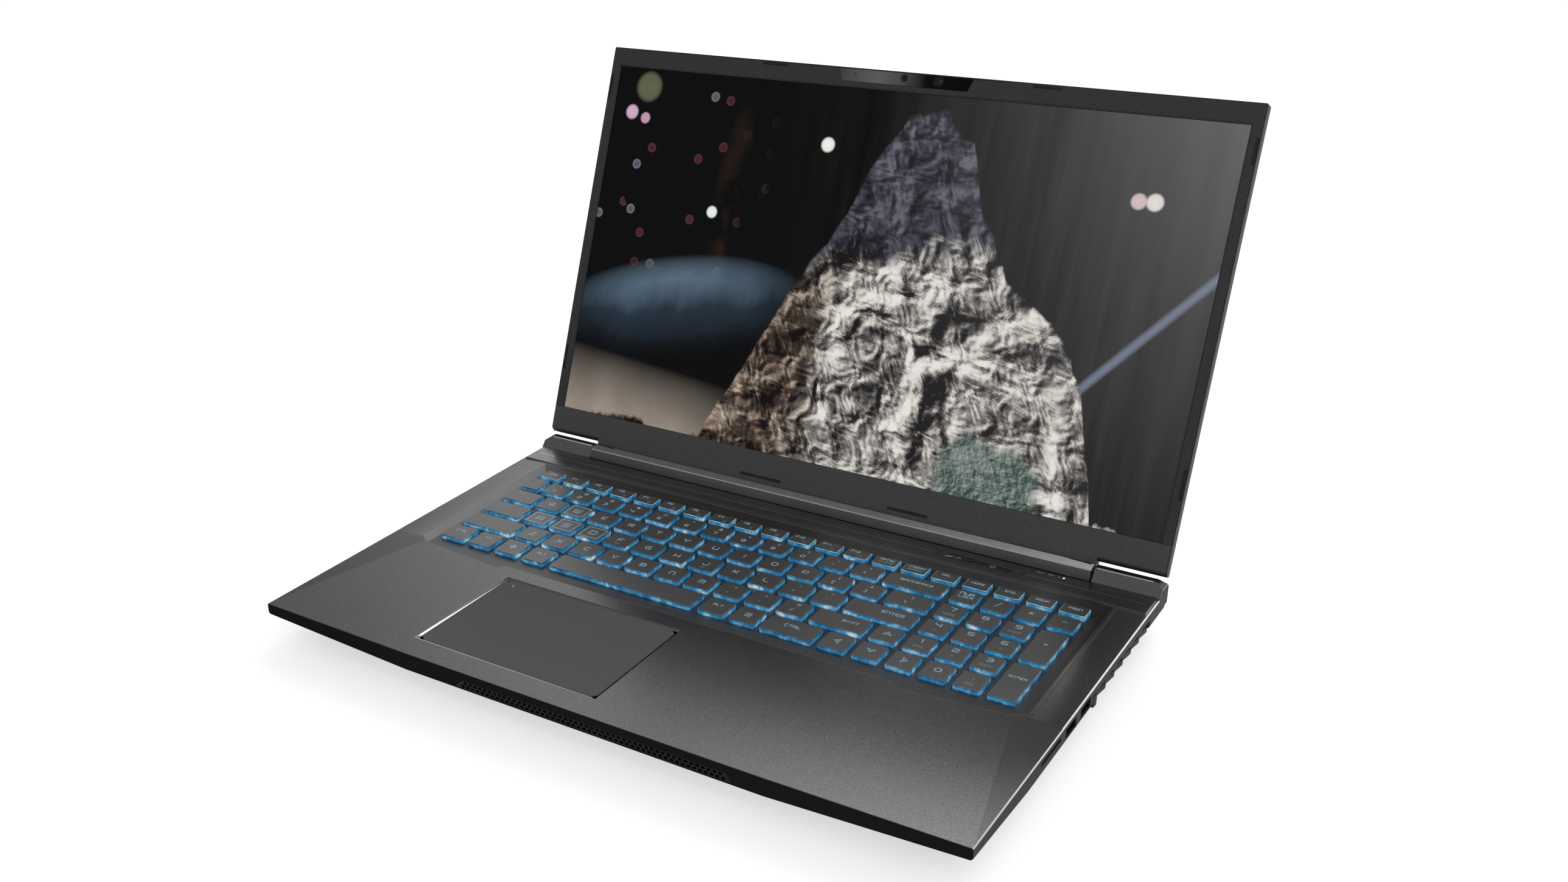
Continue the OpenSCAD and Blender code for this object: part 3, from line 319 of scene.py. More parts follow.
# ------------------------------------------------------------------ special materials
def bar_top_brushed():
    """Brushed facet of the hinge bar, with a painted highlight that grows lighter toward its right
    end.
    """
    mat = Shader("bar_top_brushed")
    # 0.36 m is about the length of the bar
    across = mat.add(mat.div(mat.axes(mat.coord())[0], 0.36), 0.5)
    # painted highlight: the colour lightens toward the bar's right end
    shade = mat.ramp(across, [(0.0, 0.22), (0.35, 0.24), (0.6, 0.29), (0.80, 0.48), (0.95, 0.80)])
    fine = mat.noise(1800, detail=2.0, rough=0.6, stretch=(0.08, 1, 1))
    mat.set("Base Color", mat.product(shade, mat.ramp(fine, [(0.3, 0.86), (0.7, 1.14)])))
    mat.set("Roughness", 0.45)
    mat.set("Metallic", 0.25)
    mat.set("Specular IOR Level", 0.2)
    mat.bump(fine, strength=0.12)


def circuit_board():
    """Green board with a brick pattern of tracks and gold dots."""
    mat = Shader("circuit_board")
    brick = mat.node("ShaderNodeTexBrick", offset=0.35)
    for name, value in (("Scale", 260), ("Mortar Size", 0.03), ("Color1", (0.010, 0.075, 0.036)),
                        ("Color2", (0.014, 0.095, 0.046)), ("Mortar", (0.03, 0.16, 0.08)),
                        ("Vector", mat.coord())):
        mat.feed(brick.inputs[name], value)
    cells = mat.node("ShaderNodeTexVoronoi")
    cells.inputs["Scale"].default_value = 300
    mat.link(mat.coord(), cells.inputs["Vector"])
    dots = mat.ramp(cells.outputs["Distance"], [(0.0, 1.0), (0.10, 1.0), (0.14, 0.0)])
    mat.set("Base Color", mat.mix(dots, brick.outputs["Color"], (0.60, 0.48, 0.25)))
    mat.set("Metallic", mat.mul(dots, 0.8))
    mat.set("Roughness", 0.38)
    mat.bump(brick.outputs["Fac"], strength=0.2)


def key_top():
    mat = Shader("key_top")
    fine = mat.noise(2600, detail=2.0, rough=0.6)
    slow = mat.noise(90)
    mat.set("Base Color", mat.mix(mat.rise(fine, 0.3, 0.7), (0.160, 0.160, 0.161),
                                  (0.250, 0.250, 0.253)))
    mat.set("Roughness", mat.add(mat.mul(slow, 0.06), 0.34))
    mat.set("Metallic", 0.75)
    mat.bump(fine, strength=0.18)


def key_side_lit():
    """Clear lit skirt: slow blotches of blue light, brightest at mid height."""
    mat = Shader("key_side_lit")
    # height up the skirt as 0..1: it starts at 0.0217 m and spans 0.0025 m
    height = mat.div(mat.sub(mat.axes(mat.coord())[2], 0.0217), 0.0025, clamp=True)
    band = mat.ramp(height, [(0.0, 0.30), (0.18, 0.75), (0.50, 1.0), (0.74, 0.62), (0.88, 0.26),
                             (1.0, 0.40)])
    blotches = mat.noise(150, detail=3.0, rough=0.55)
    fine = mat.noise(900, detail=2.0, rough=0.6)
    both = mat.add(mat.mul(blotches, 0.78), mat.mul(fine, 0.22))
    light = mat.ramp(both, [(0.36, (0.016, 0.120, 0.27)), (0.50, (0.050, 0.26, 0.50)),
                            (0.58, (0.17, 0.45, 0.68)), (0.66, (0.66, 0.88, 1.0))])
    mat.set("Base Color", mat.mix(0.25, (0.01, 0.05, 0.10), light))
    mat.set("Emission Color", mat.product(light, band))
    mat.set("Emission Strength", 0.72)
    mat.set("Roughness", 0.22)
    mat.set("Coat Weight", 0.3)
    mat.set("Coat Roughness", 0.08)
    mat.bump(fine, strength=0.12, mm=0.04)


def screen_picture():
    """A night picture: round lights, a misty hill, a folded outcrop and a soft glare.

    Places and radii are fractions of the screen: u to the right, v upward.
    """
    aspect = 1.78
    mat = Shader("screen_picture")
    add, sub, mul, mix = mat.add, mat.sub, mat.mul, mat.mix
    ramp, rise, fall = mat.ramp, mat.rise, mat.fall
    u, v = mat.axes(mat.coord("UV"))[:2]
    wide_u = mul(u, aspect)
    flat = mat.combine(wide_u, v, 0.0)

    def sway(noise, gain):
        """Noise centred on zero."""
        return mul(sub(noise, 0.5), gain)

    def radial(at_u, at_v, radius_u, radius_v, tilt=0.0):
        """Distance from a centre, 1 on the ellipse with these radii."""
        du = mat.div(sub(u, at_u), radius_u)
        dv = mat.div(sub(sub(v, at_v), mul(sub(u, at_u), tilt)), radius_v)
        return mat.calc("SQRT", add(mul(du, du), mul(dv, dv)))

    # night air: black, with faint upright folds at the right and warm mist low on the left
    folds = mat.noise(26, detail=3.0, rough=0.55, vector=mat.combine(wide_u, mul(v, 0.06), 3.0))
    broad = mat.noise(5.0, detail=4.0, rough=0.6, vector=mat.combine(wide_u, mul(v, 0.5), 8.0))
    sky = mix(mul(rise(u, 0.30, 0.75), rise(folds, 0.35, 0.75)), (0.0022, 0.0022, 0.0026),
              (0.020, 0.019, 0.019))
    warm = mul(fall(radial(0.245, 0.62, 0.035, 0.32), 0.3, 1.0), rise(broad, 0.40, 0.70))
    sky = mix(mul(warm, 0.5), sky, (0.11, 0.055, 0.028))
    ground = mul(fall(sub(v, mul(u, -0.16)), 0.03, 0.20), fall(u, 0.22, 0.45))
    sky = mix(ground, sky, mix(broad, (0.16, 0.125, 0.10), (0.42, 0.36, 0.31)))

    # two sparse fields of soft round lights:
    # cell scale, disc radius, faded radius, colour, gain, seed, share of cells left dark
    for scale, radius, faded, color, gain, seed, cut in (
            (9.0, 0.105, 0.135, (0.42, 0.40, 0.50), 0.42, 3.1, 0.74),
            (13.0, 0.15, 0.19, (0.34, 0.10, 0.12), 0.30, 5.3, 0.80)):
        cells = mat.node("ShaderNodeTexVoronoi", voronoi_dimensions="2D")
        cells.inputs["Scale"].default_value = scale
        mat.link(mat.mapped(flat, "Location", (seed, seed * 0.37, 0)), cells.inputs["Vector"])
        disc = ramp(cells.outputs["Distance"],
                    [(0.0, 0.45), (radius * 0.75, 0.55), (radius, 1.0), (faded, 0.0)])
        channels = mat.node("ShaderNodeSeparateColor")
        mat.link(cells.outputs["Color"], channels.inputs[0])
        kept = rise(channels.outputs[0], cut, cut + 0.03)
        where = mul(fall(u, 0.20, 0.31), rise(v, 0.40, 0.50))
        sky = mix(mul(mul(disc, kept), mul(where, gain)), sky, color)

    # placed lights: u, v, radius, colour
    for at_u, at_v, radius, color in (
            (0.395, 0.845, 0.0125, (0.85, 0.87, 0.80)), (0.215, 0.625, 0.0105, (0.80, 0.86, 0.80)),
            (0.875, 0.795, 0.0125, (0.72, 0.55, 0.58)), (0.897, 0.797, 0.0135, (0.86, 0.80, 0.74)),
            (0.035, 0.875, 0.013, (0.62, 0.42, 0.56)), (0.062, 0.862, 0.010, (0.55, 0.30, 0.44)),
            (0.060, 0.950, 0.026, (0.11, 0.12, 0.07))):
        distance = radial(at_u, at_v, radius, radius * aspect)
        sky = mix(ramp(distance, [(0.0, 1.0), (0.72, 0.92), (1.0, 0.0)]), sky, color)

    # misty slate hill, out of focus
    hill_u, hill_v, hill_tilt = 0.175, 0.345, 0.34
    hill = fall(radial(hill_u, hill_v, 0.235, 0.150, hill_tilt), 0.55, 1.0)
    shade = add(mul(sub(sub(v, hill_v), mul(sub(u, hill_u), hill_tilt)), 3.4),
                add(0.36, sway(broad, 0.5)))
    picture = mix(hill, sky, ramp(shade, [
        (0.0, (0.004, 0.006, 0.009)), (0.35, (0.018, 0.030, 0.044)),
        (0.62, (0.085, 0.135, 0.190)), (0.80, (0.12, 0.18, 0.24)), (1.0, (0.05, 0.08, 0.12))]))

    def relief(scale, seed, step, gain, detail, rough, distortion):
        """Lit height field: brighter where a noise falls toward the lower right."""
        heights = []
        for shift in (0.0, step):
            place = mat.combine(add(add(wide_u, mul(v, 0.25)), shift), sub(v, shift * 0.9), seed)
            heights.append(mat.noise(scale, detail, rough, place, distortion=distortion))
        return add(mul(sub(*heights), gain), 0.5)

    # folded outcrop: dark slate crown, pale middle, brown left side
    jag = mat.noise(7.0, detail=7.0, rough=0.6, vector=mat.combine(wide_u, mul(v, 0.35), 4.4))
    # outline stops: u, height v
    outline = add(ramp(u, [
        (0.26, 0.0), (0.31, 0.20), (0.37, 0.42), (0.43, 0.60), (0.475, 0.80), (0.52, 0.93),
        (0.575, 0.955), (0.625, 0.88), (0.665, 0.70), (0.72, 0.57), (0.79, 0.47), (0.85, 0.33),
        (0.885, 0.12), (0.90, 0.0)]), sway(jag, 0.16))
    mask = rise(sub(outline, v), 0.0, 0.012)
    big = relief(scale=4.2, seed=1.3, step=0.03, gain=2.6, detail=4.0, rough=0.5, distortion=1.2)
    small = relief(scale=15.0, seed=2.9, step=0.008, gain=2.9, detail=9.0, rough=0.62,
                   distortion=0.6)
    weave = relief(scale=60.0, seed=6.9, step=0.0025, gain=1.6, detail=4.0, rough=0.6,
                   distortion=0.0)
    lit = add(add(mul(big, 0.45), mul(small, 0.45)), mul(weave, 0.10))
    pale = ramp(lit, [(0.34, (0.010, 0.009, 0.010)), (0.44, (0.10, 0.092, 0.088)),
                      (0.52, (0.30, 0.285, 0.265)), (0.60, (0.60, 0.575, 0.53)),
                      (0.70, (0.78, 0.76, 0.72))])
    slate = ramp(lit, [(0.34, (0.005, 0.005, 0.008)), (0.46, (0.022, 0.021, 0.030)),
                       (0.56, (0.060, 0.058, 0.080)), (0.68, (0.13, 0.128, 0.16))])
    brown = ramp(lit, [(0.36, (0.006, 0.004, 0.004)), (0.50, (0.060, 0.042, 0.032)),
                       (0.62, (0.26, 0.20, 0.155)), (0.72, (0.5, 0.42, 0.35))])
    high = rise(add(v, add(sway(jag, 0.25), mul(u, -0.22))), 0.44, 0.50)
    left = fall(add(u, sway(jag, 0.2)), 0.40, 0.47)
    rock = mix(high, mix(left, pale, brown), slate)
    # green patch at the foot, right of the middle
    moss = mul(fall(add(radial(0.735, 0.05, 0.095, 0.12), sway(jag, 1.6)), 0.75, 1.0), 0.8)
    rock = mix(moss, rock, ramp(weave, [(0.30, (0.015, 0.028, 0.024)), (0.50, (0.07, 0.115, 0.10)),
                                        (0.70, (0.22, 0.30, 0.27))]))
    picture = mix(mask, picture, rock)

    # thin pale streak at the lower right
    streak_u, streak_v, streak_slope = 0.835, 0.300, 2.05
    line = mat.calc("ABSOLUTE", sub(sub(v, streak_v), mul(sub(u, streak_u), streak_slope)))
    streak = mul(ramp(line, [(0.0, 1.0), (0.012, 0.65), (0.022, 0.0)]), rise(u, streak_u, 0.85))
    picture = mix(mul(mul(streak, 0.5), sub(1.0, mask)), picture, (0.30, 0.36, 0.52))

    # glare from the upper right, then fine grain
    glare = mul(ramp(u, [(0.46, 0.0), (0.75, 0.35), (1.0, 1.0)]),
                ramp(v, [(0.0, 0.10), (0.5, 0.45), (1.0, 1.0)]))
    picture = mix(mul(glare, 0.36), picture, (0.34, 0.34, 0.345))
    fine = mat.noise(420, detail=1.0, vector=flat)
    picture = mat.product(picture, mix(fine, grey(0.84), grey(1.16)))
    mat.set("Base Color", grey(0.003))
    mat.set("Emission Color", picture)
    mat.set("Emission Strength", 1.0)
    mat.set("Roughness", 0.40)
    mat.set("Specular IOR Level", 0.06)


def camera_window_film_painted_reflection():
    """Dark film, with a painted reflection that greys it toward its left end."""
    mat = Shader("camera_window_film_painted_reflection")
    # 0.082 m is the span of the painted reflection
    across = mat.add(mat.div(mat.axes(mat.coord())[0], 0.082), 0.5)
    painted_reflection = mat.ramp(across, [(0.0, (0.09, 0.09, 0.091)), (0.30, (0.20, 0.20, 0.202)),
                             (0.50, (0.11, 0.11, 0.112)), (0.66, 0.006), (1.0, 0.003)])
    mat.set("Base Color", mat.product(painted_reflection, mat.mix(mat.noise(900), grey(0.9), grey(1.1))))
    mat.set("Roughness", 0.3)
    mat.set("Specular IOR Level", 0.06)


bar_top_brushed()
finish("edge_glint", (0.66, 0.66, 0.67), rough=0.42, metal=0.15, stretch=(0.1, 1, 1), **GLINT)
finish("edge_glint_dim", (0.20, 0.20, 0.205), rough=0.45, metal=0.6, stretch=(1, 1, 1), **GLINT)
glow("key_rim_lit", (0.26, 0.60, 0.86), strength=0.75, base=(0.10, 0.20, 0.28), scale=260,
     amount=0.45)
circuit_board()
key_top()
key_side_lit()
glow("legend_ink_lit", (0.28, 0.50, 0.64), strength=0.75, base=(0.08, 0.12, 0.15), scale=900,
     amount=0.12)
glow("legend_ink_dim", (0.13, 0.20, 0.25), strength=0.7, base=(0.08, 0.10, 0.11), scale=900,
     amount=0.12)
glow("icon_ink", (0.20, 0.20, 0.21), strength=0.55, base=(0.30, 0.30, 0.31), scale=600)
glow("led_white", (1.0, 1.0, 1.0), strength=4.0, scale=300, amount=0.03)
glow("led_dim", (0.5, 0.5, 0.5), strength=0.25, base=(0.2, 0.2, 0.2))
glow("led_green", (0.10, 0.90, 0.35), strength=2.0, amount=0.05)
screen_picture()
camera_window_film_painted_reflection()


# ------------------------------------------------------------------ mesh helpers
def new_object(name, mesh, mats):
    for mat in mats:
        mesh.materials.append(MATERIALS[mat])
    ob = bpy.data.objects.new(name, mesh)
    bpy.context.scene.collection.objects.link(ob)
    return ob


def mesh_object(name, verts, faces, mats, mat_index=None, smooth=False, uv=None):
    mesh = bpy.data.meshes.new(name)
    mesh.from_pydata([tuple(point) for point in verts], [], faces)
    ob = new_object(name, mesh, mats)
    if mat_index:
        mesh.polygons.foreach_set("material_index", mat_index)
    if smooth:
        mesh.polygons.foreach_set("use_smooth", [True] * len(mesh.polygons))
    if uv:
        layer = mesh.uv_layers.new(name="UVMap")
        for loop in mesh.loops:
            layer.data[loop.index].uv = uv[loop.vertex_index]
    mesh.update()
    mesh.validate()
    return ob


def rect(x0, y0, x1, y1):
    return [(x0, y0), (x1, y0), (x1, y1), (x0, y1)]


def on_circle(x, y, radius, angle):
    return x + radius * math.cos(angle), y + radius * math.sin(angle)


def joints(points, closed):
    """Each point of a polyline with its mitre, its left normal and its outward end direction."""
    last = len(points) - 1
    for i, point in enumerate(points):
        before = points[i - 1] if (i > 0 or closed) else None
        after = points[(i + 1) % len(points)] if (i < last or closed) else None
        way_in = ((point - before) if before is not None else (after - point)).normalized()
        way_out = (after - point).normalized() if after is not None else way_in
        normal = Vector((-way_in.y, way_in.x))
        mitre = normal + Vector((-way_out.y, way_out.x))
        mitre = mitre.normalized() if mitre.length > 1e-6 else normal
        end = -way_in if before is None else way_out if after is None else Vector((0, 0))
        yield point, mitre, normal, end


class Builder:
    """Collects closed shapes, each with a material slot.

    Plan shapes lie between two levels; place maps (x, y, level) to a world point.
    """

    def __init__(self):
        self.verts, self.faces, self.mats = [], [], []

    def add(self, verts, faces, mat=0):
        """mat is one slot for all the faces or a list with one per face."""
        start = len(self.verts)
        self.verts += list(verts)
        self.faces += [tuple(i + start for i in face) for face in faces]
        self.mats += mat if isinstance(mat, list) else [mat] * len(faces)

    def prism(self, points, levels, mat=0, place=base_point):
        count = len(points)
        verts = [place(x, y, z) for z in levels for x, y in points]
        faces = [tuple(range(count))[::-1], tuple(range(count, 2 * count))]
        faces += [(i, (i + 1) % count, count + (i + 1) % count, count + i) for i in range(count)]
        self.add(verts, faces, mat)

    def rod(self, x0, x1, profile, mat=0, place=base_point):
        """A profile swept along X."""
        count = len(profile)
        verts = [place(x, *point) for x in (x0, x1) for point in profile]
        faces = [(i, count + i, count + (i + 1) % count, (i + 1) % count) for i in range(count)]
        faces += [tuple(range(count)), tuple(range(count, 2 * count))[::-1]]
        self.add(verts, faces, mat)

    def ribbon(self, points, width, levels, mat=0, closed=False, place=base_point):
        """A flat mitred band along a plan polyline."""
        if closed and points[0] == points[-1]:
            points = points[:-1]
        count = len(points)
        low, high = levels
        verts = []
        for point, mitre, normal, end in joints([Vector(p) for p in points], closed):
            reach = min(1.8, 1 / max(0.3, mitre.dot(normal)))
            middle = point + end * (width / 2) * 0.6
            side = mitre * (width / 2) * reach
            left, right = middle + side, middle - side
            verts += [place(left.x, left.y, high), place(right.x, right.y, high),
                      place(right.x, right.y, low), place(left.x, left.y, low)]
        faces = []
        for i in range(count if closed else count - 1):
            j = (i + 1) % count
            for k in range(4):
                m = (k + 1) % 4
                faces.append((4 * i + k, 4 * i + m, 4 * j + m, 4 * j + k))
        if not closed:
            faces.append((0, 3, 2, 1))
            faces.append(tuple(range(4 * (count - 1), 4 * count)))
        self.add(verts, faces, mat)

    def ring(self, x, y, radius, width, levels, segments, mat=0, start=0.0, end=360.0,
             place=base_point):
        """A full ring, or an arc between two angles in degrees."""
        full = abs(end - start) >= 359.9
        points = [on_circle(x, y, radius, math.radians(start + (end - start) * i / segments))
                  for i in range(segments + (0 if full else 1))]
        self.ribbon(points, width, levels, mat, full, place)

    def disc(self, x, y, radius, levels, segments, mat=0, place=base_point):
        self.prism([on_circle(x, y, radius, 2 * math.pi * i / segments) for i in range(segments)],
                   levels, mat, place)

    def dome(self, x, y, radius, level, height, mat=0, place=base_point):
        """A low lens-shaped cap."""
        segments, rings = 28, 6
        verts = [place(x, y, level + height)]
        for k in range(1, rings + 1):
            slope = math.pi / 2 * k / rings
            for i in range(segments):
                turn = 2 * math.pi * i / segments
                verts.append(place(x + radius * math.sin(slope) * math.cos(turn),
                                   y + radius * math.sin(slope) * math.sin(turn),
                                   level + height * math.cos(slope)))
        faces = [(0, 1 + i, 1 + (i + 1) % segments) for i in range(segments)]
        for k in range(rings - 1):
            a, b = 1 + k * segments, 1 + (k + 1) * segments
            faces += [(a + i, b + i, b + (i + 1) % segments, a + (i + 1) % segments)
                      for i in range(segments)]
        last = 1 + (rings - 1) * segments
        faces.append(tuple(last + i for i in range(segments))[::-1])
        self.add(verts, faces, mat)

    def make(self, name, mats, body, smooth=False):
        ob = mesh_object(name, self.verts, self.faces, mats, self.mats, smooth)
        bm = bmesh.new()
        bm.from_mesh(ob.data)
        bmesh.ops.recalc_face_normals(bm, faces=bm.faces)
        bm.to_mesh(ob.data)
        bm.free()
        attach(ob, body)


def refine(node, name, body, width, mats, pick=None, limit=0.6, keep=None):
    """A finished copy of a CAD node: welded, planar faces merged and edges rounded by width.

    pick names the material of a face, keep says which edges may be rounded and limit is the
    angle in degrees below which neighbouring faces merge.
    """
    bm = bmesh.new()
    bm.from_mesh(NODES[node].data)
    bmesh.ops.remove_doubles(bm, verts=bm.verts, dist=2e-6)
    bmesh.ops.dissolve_limit(bm, angle_limit=math.radians(limit), verts=bm.verts, edges=bm.edges)
    bm.normal_update()
    sharp = [e for e in bm.edges
             if len(e.link_faces) == 2 and e.calc_face_angle(0) > math.radians(28)
             and e.calc_length() > width * 2.2 / 1000 and (keep is None or keep(e))]
    bmesh.ops.bevel(bm, geom=sharp, offset=width / 1000, offset_type="OFFSET", segments=2,
                    profile=0.6, affect="EDGES", clamp_overlap=False)
    bm.normal_update()
    for face in bm.faces:
        face.smooth = True
        face.material_index = (mats.index(pick(face.calc_center_median(), face.normal))
                               if pick else 0)
    area = {face: face.calc_area() for face in bm.faces}
    for edge in bm.edges:
        smooth = edge.is_manifold and edge.calc_face_angle(0) < math.radians(34)
        if smooth and edge.calc_face_angle(0) > math.radians(0.3):
            small, large = sorted(area[face] for face in edge.link_faces)
            # a large flat face keeps its own normal beside a narrow rounding or shallow facet
            if large > 30 * small or (small > 60e-6
                                      and edge.calc_face_angle(0) < math.radians(4)):
                smooth = False
        edge.smooth = smooth
    mesh = bpy.data.meshes.new(name)
    bm.to_mesh(mesh)
    bm.free()
    ob = new_object(name, mesh, mats)
    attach(ob, body)
    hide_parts(node)


# ------------------------------------------------------------------ base shells
def pick_top(centre, normal):
    """Material of a top case face, from where it lies and how it faces."""
    x, y, z = centre.x * 1000, centre.y * 1000 + ORIGIN_Y, centre.z * 1000
    out = abs(x)
    if out > 197.0 and z > DECK - 1.4 and 0.3 < normal.z < 0.95 and abs(normal.x) > 0.3 and y < 249:
        return "cut_edge"                       # sloping side edges of the deck
    if normal.y < -0.35 and y < 1.2 and z < DECK - 0.2 and normal.z < 0.6:
        return "front_lip_black"
    if out > 196 and abs(normal.x) > 0.6 and z < DECK - 0.3:
        return "side_wall_coat"
    if y > 246 or z < 20.0:
        return "side_wall_coat" if z > 15.5 else "base_moulding"
    # shallow side facets take the coats with painted light and shade
    if out > 172 and y < 222 and 0.006 < abs(normal.x) < 0.07 and normal.z > 0.99:
        return "deck_coat_facet" if x < 0 else "deck_coat_facet_right"
    if y > 220 and DECK + 0.2 < z < DECK + 0.6:
        return "rear_strip_coat"
    if -183 < x < -174 and 96 < y < 221.5 and z < DECK - 0.05 and normal.x > 0.3:
        return "well_side_bevel"                # left wall of the key well, lighter: painted highlight
    # floor and walls of the key well: a darker coat, painted shade in the recess
    if -181.5 < x < 181.5 and 92 < y < 221.5 and z < DECK - 0.15:
        return "key_well" if (z < 22.2 or normal.z < 0.97) else "deck_coat"
    return "deck_coat"


refine("top_case", "top_case_shell", "base", 0.16,
       ["deck_coat", "cut_edge", "front_lip_black", "side_wall_coat", "base_moulding", "key_well",
        "deck_coat_facet", "well_side_bevel", "deck_coat_facet_right", "rear_strip_coat"],
       pick_top, limit=0.12)
refine("bottom_cover", "bottom_cover_shell", "base", 0.25, ["base_moulding"])

# levels of thin details: just proud of the deck, and at the edge of the rear strip
DECK_TRIM = (23.90, DECK + 0.03)
STRIP_EDGE = (24.30, 24.43)
WELL_X = 181.5                      # half width of the well's rear edge

# thin line inlaid in the rear strip, in two lengths
build = Builder()
for x0, x1 in ((-193.3, 76.3), (129.2, 192.9)):
    build.prism(rect(x0, 229.28, x1, 229.82), (23.95, 24.415))
build.make("rear_strip_inlay", ["cut_edge"], "base")

# touchpad surround, in the bright cut-edge finish as a painted highlight: sloping rim on the left,
# four top corners and the four beneath them
build = Builder()
build.add([base_point(*corner) for corner in (
    (-107.15, 12.75, DECK + 0.03), (-106.02, 16.8, 23.45), (-106.02, 83.3, 23.45),
    (-106.45, 83.6, DECK + 0.03),
    (-107.25, 12.75, 23.3), (-106.3, 16.8, 23.1), (-106.3, 83.3, 23.1), (-106.75, 83.6, 23.3))],
    [(0, 1, 2, 3), (4, 7, 6, 5), (0, 4, 5, 1), (1, 5, 6, 2), (2, 6, 7, 3), (3, 7, 4, 0)])
build.make("touchpad_rim_left_painted_highlight", ["cut_edge"], "base")

# painted highlight along the front, tapering to the right, with a corner piece at the left
build = Builder()
build.prism([(-105.0, 12.60), (2.4, 12.60), (2.4, 12.76), (-105.0, 13.04)], (23.90, 24.04))
build.prism([(-107.25, 12.62), (-104.9, 12.62), (-104.9, 13.0), (-106.75, 13.0), (-106.75, 16.4),
             (-107.25, 16.4)], (23.90, 24.035))
build.make("touchpad_rim_front_painted_highlight", ["cut_edge"], "base")

# glints on the right, rear and front edges of the key well
WELL_FRONT = [(-174.6, 98.62), (-120.35, 93.82), (-115.05, 97.6), (115.05, 97.6),
              (120.35, 93.82), (174.6, 98.62), (181.0, 103.9), (182.2, 105.6)]
build = Builder()
build.prism(rect(182.02, 105.5, 182.30, 220.0), DECK_TRIM)
build.prism(rect(-WELL_X, 222.45, WELL_X, 222.75), STRIP_EDGE)
build.ribbon(WELL_FRONT, 0.26, DECK_TRIM)
build.make("well_edge_glint", ["edge_glint_dim"], "base")

# glints on the front edges of the two hinge mounds; the profile is (y, z)
MOUND_EDGE = ((244.42, 29.90), (244.82, 30.33), (245.10, 30.33), (245.10, 30.1), (244.6, 29.85))
build = Builder()
for x0, x1, mat in ((-192.2, -162.6, 1), (162.6, 192.2, 0)):
    build.rod(x0, x1, MOUND_EDGE, mat)
build.make("mound_edge_glint", ["cut_edge", "edge_glint"], "base")

# ------------------------------------------------------------------ touchpad, buttons
BUTTON_INK = (24.49, 24.52)         # levels of the ink on the buttons
STRIP_INK = (24.4, 24.43)           # and on the rear strip

refine("touchpad", "touchpad_plate", "touchpad", 0.12, ["pad_film"])
build = Builder()
build.disc(-98.6, 81.7, 0.33, (23.48, 23.52), segments=16)
build.make("touchpad_light", ["led_green"], "touchpad")
for node in ("power_button", "fan_mode_button"):
    refine(node, node + "_cap", node, 0.14, ["deck_coat"])

# broken ring and bar
build = Builder()
build.ring(111.2, 228.9, 1.25, 0.26, BUTTON_INK, segments=24, start=130, end=410)
build.prism(rect(111.07, 229.1, 111.33, 230.6), BUTTON_INK)
build.make("power_symbol", ["icon_ink"], "power_button")

# dial with a needle, and a row of slanted strokes to its left
DIAL_X, DIAL_Y = 91.4, 228.5
build = Builder()
build.ring(DIAL_X, DIAL_Y, 1.35, 0.24, BUTTON_INK, segments=22, start=0, end=200)
build.ribbon([(DIAL_X, DIAL_Y), (92.3, 229.6)], 0.22, BUTTON_INK)
for i in range(6):
    x = 83.4 + i * 0.75
    build.ribbon([(x, 227.4 + 0.1 * i), (x + 1.5, 229.4 + 0.05 * i)], 0.2, BUTTON_INK)
build.make("fan_mode_symbol", ["icon_ink"], "fan_mode_button")

# two dim lamps and a white one, each with a small sign to its left
LAMP_Y = 235.5
build = Builder()
for x in (136.8, 142.2):
    build.dome(x, LAMP_Y, 0.42, STRIP_INK[1], 0.1, mat=1)
build.dome(148.1, LAMP_Y, 0.5, STRIP_INK[1], 0.12, mat=2)
build.ribbon(rect(133.6, 235.2, 135.3, 236.1), 0.16, STRIP_INK, closed=True)
build.ribbon(rect(139.7, 235.3, 141.1, 236.1), 0.16, STRIP_INK, closed=True)
build.ring(145.6, 235.6, 0.55, 0.15, STRIP_INK, segments=16)
build.make("status_lights", ["icon_ink", "led_dim", "led_white"], "base")

# ------------------------------------------------------------------ key layout
# front and rear edges of the rows, front row first
ROW = [(109.3, 124.5), (128.5, 143.2), (147.2, 161.6), (165.7, 179.8), (184.1, 197.8),
       (201.5, 211.3)]
# left and right edges of the numpad columns
COLUMN = [(105.2, 118.9), (122.7, 136.5), (140.4, 154.0), (157.7, 171.7)]
PITCH, KEY_WIDTH = 18.75, 15.4
FN_PITCH = 17.27
KEY_TOP = DECK + 0.2
KEY_BOTTOM = DECK - 3.5


def row_key(x0, x1, row):
    return (x0, x1, *ROW[row])


def key_run(x0, count, row):
    return [row_key(x0 + i * PITCH, x0 + i * PITCH + KEY_WIDTH, row) for i in range(count)]


def typed(keys, lower, upper):
    """Keys with their signs; upper counts only where lower is not a letter."""
    return [(key, ["letter", low] if low.isalpha() else ["pair", low, high])
            for key, low, high in zip(keys, lower, upper)]


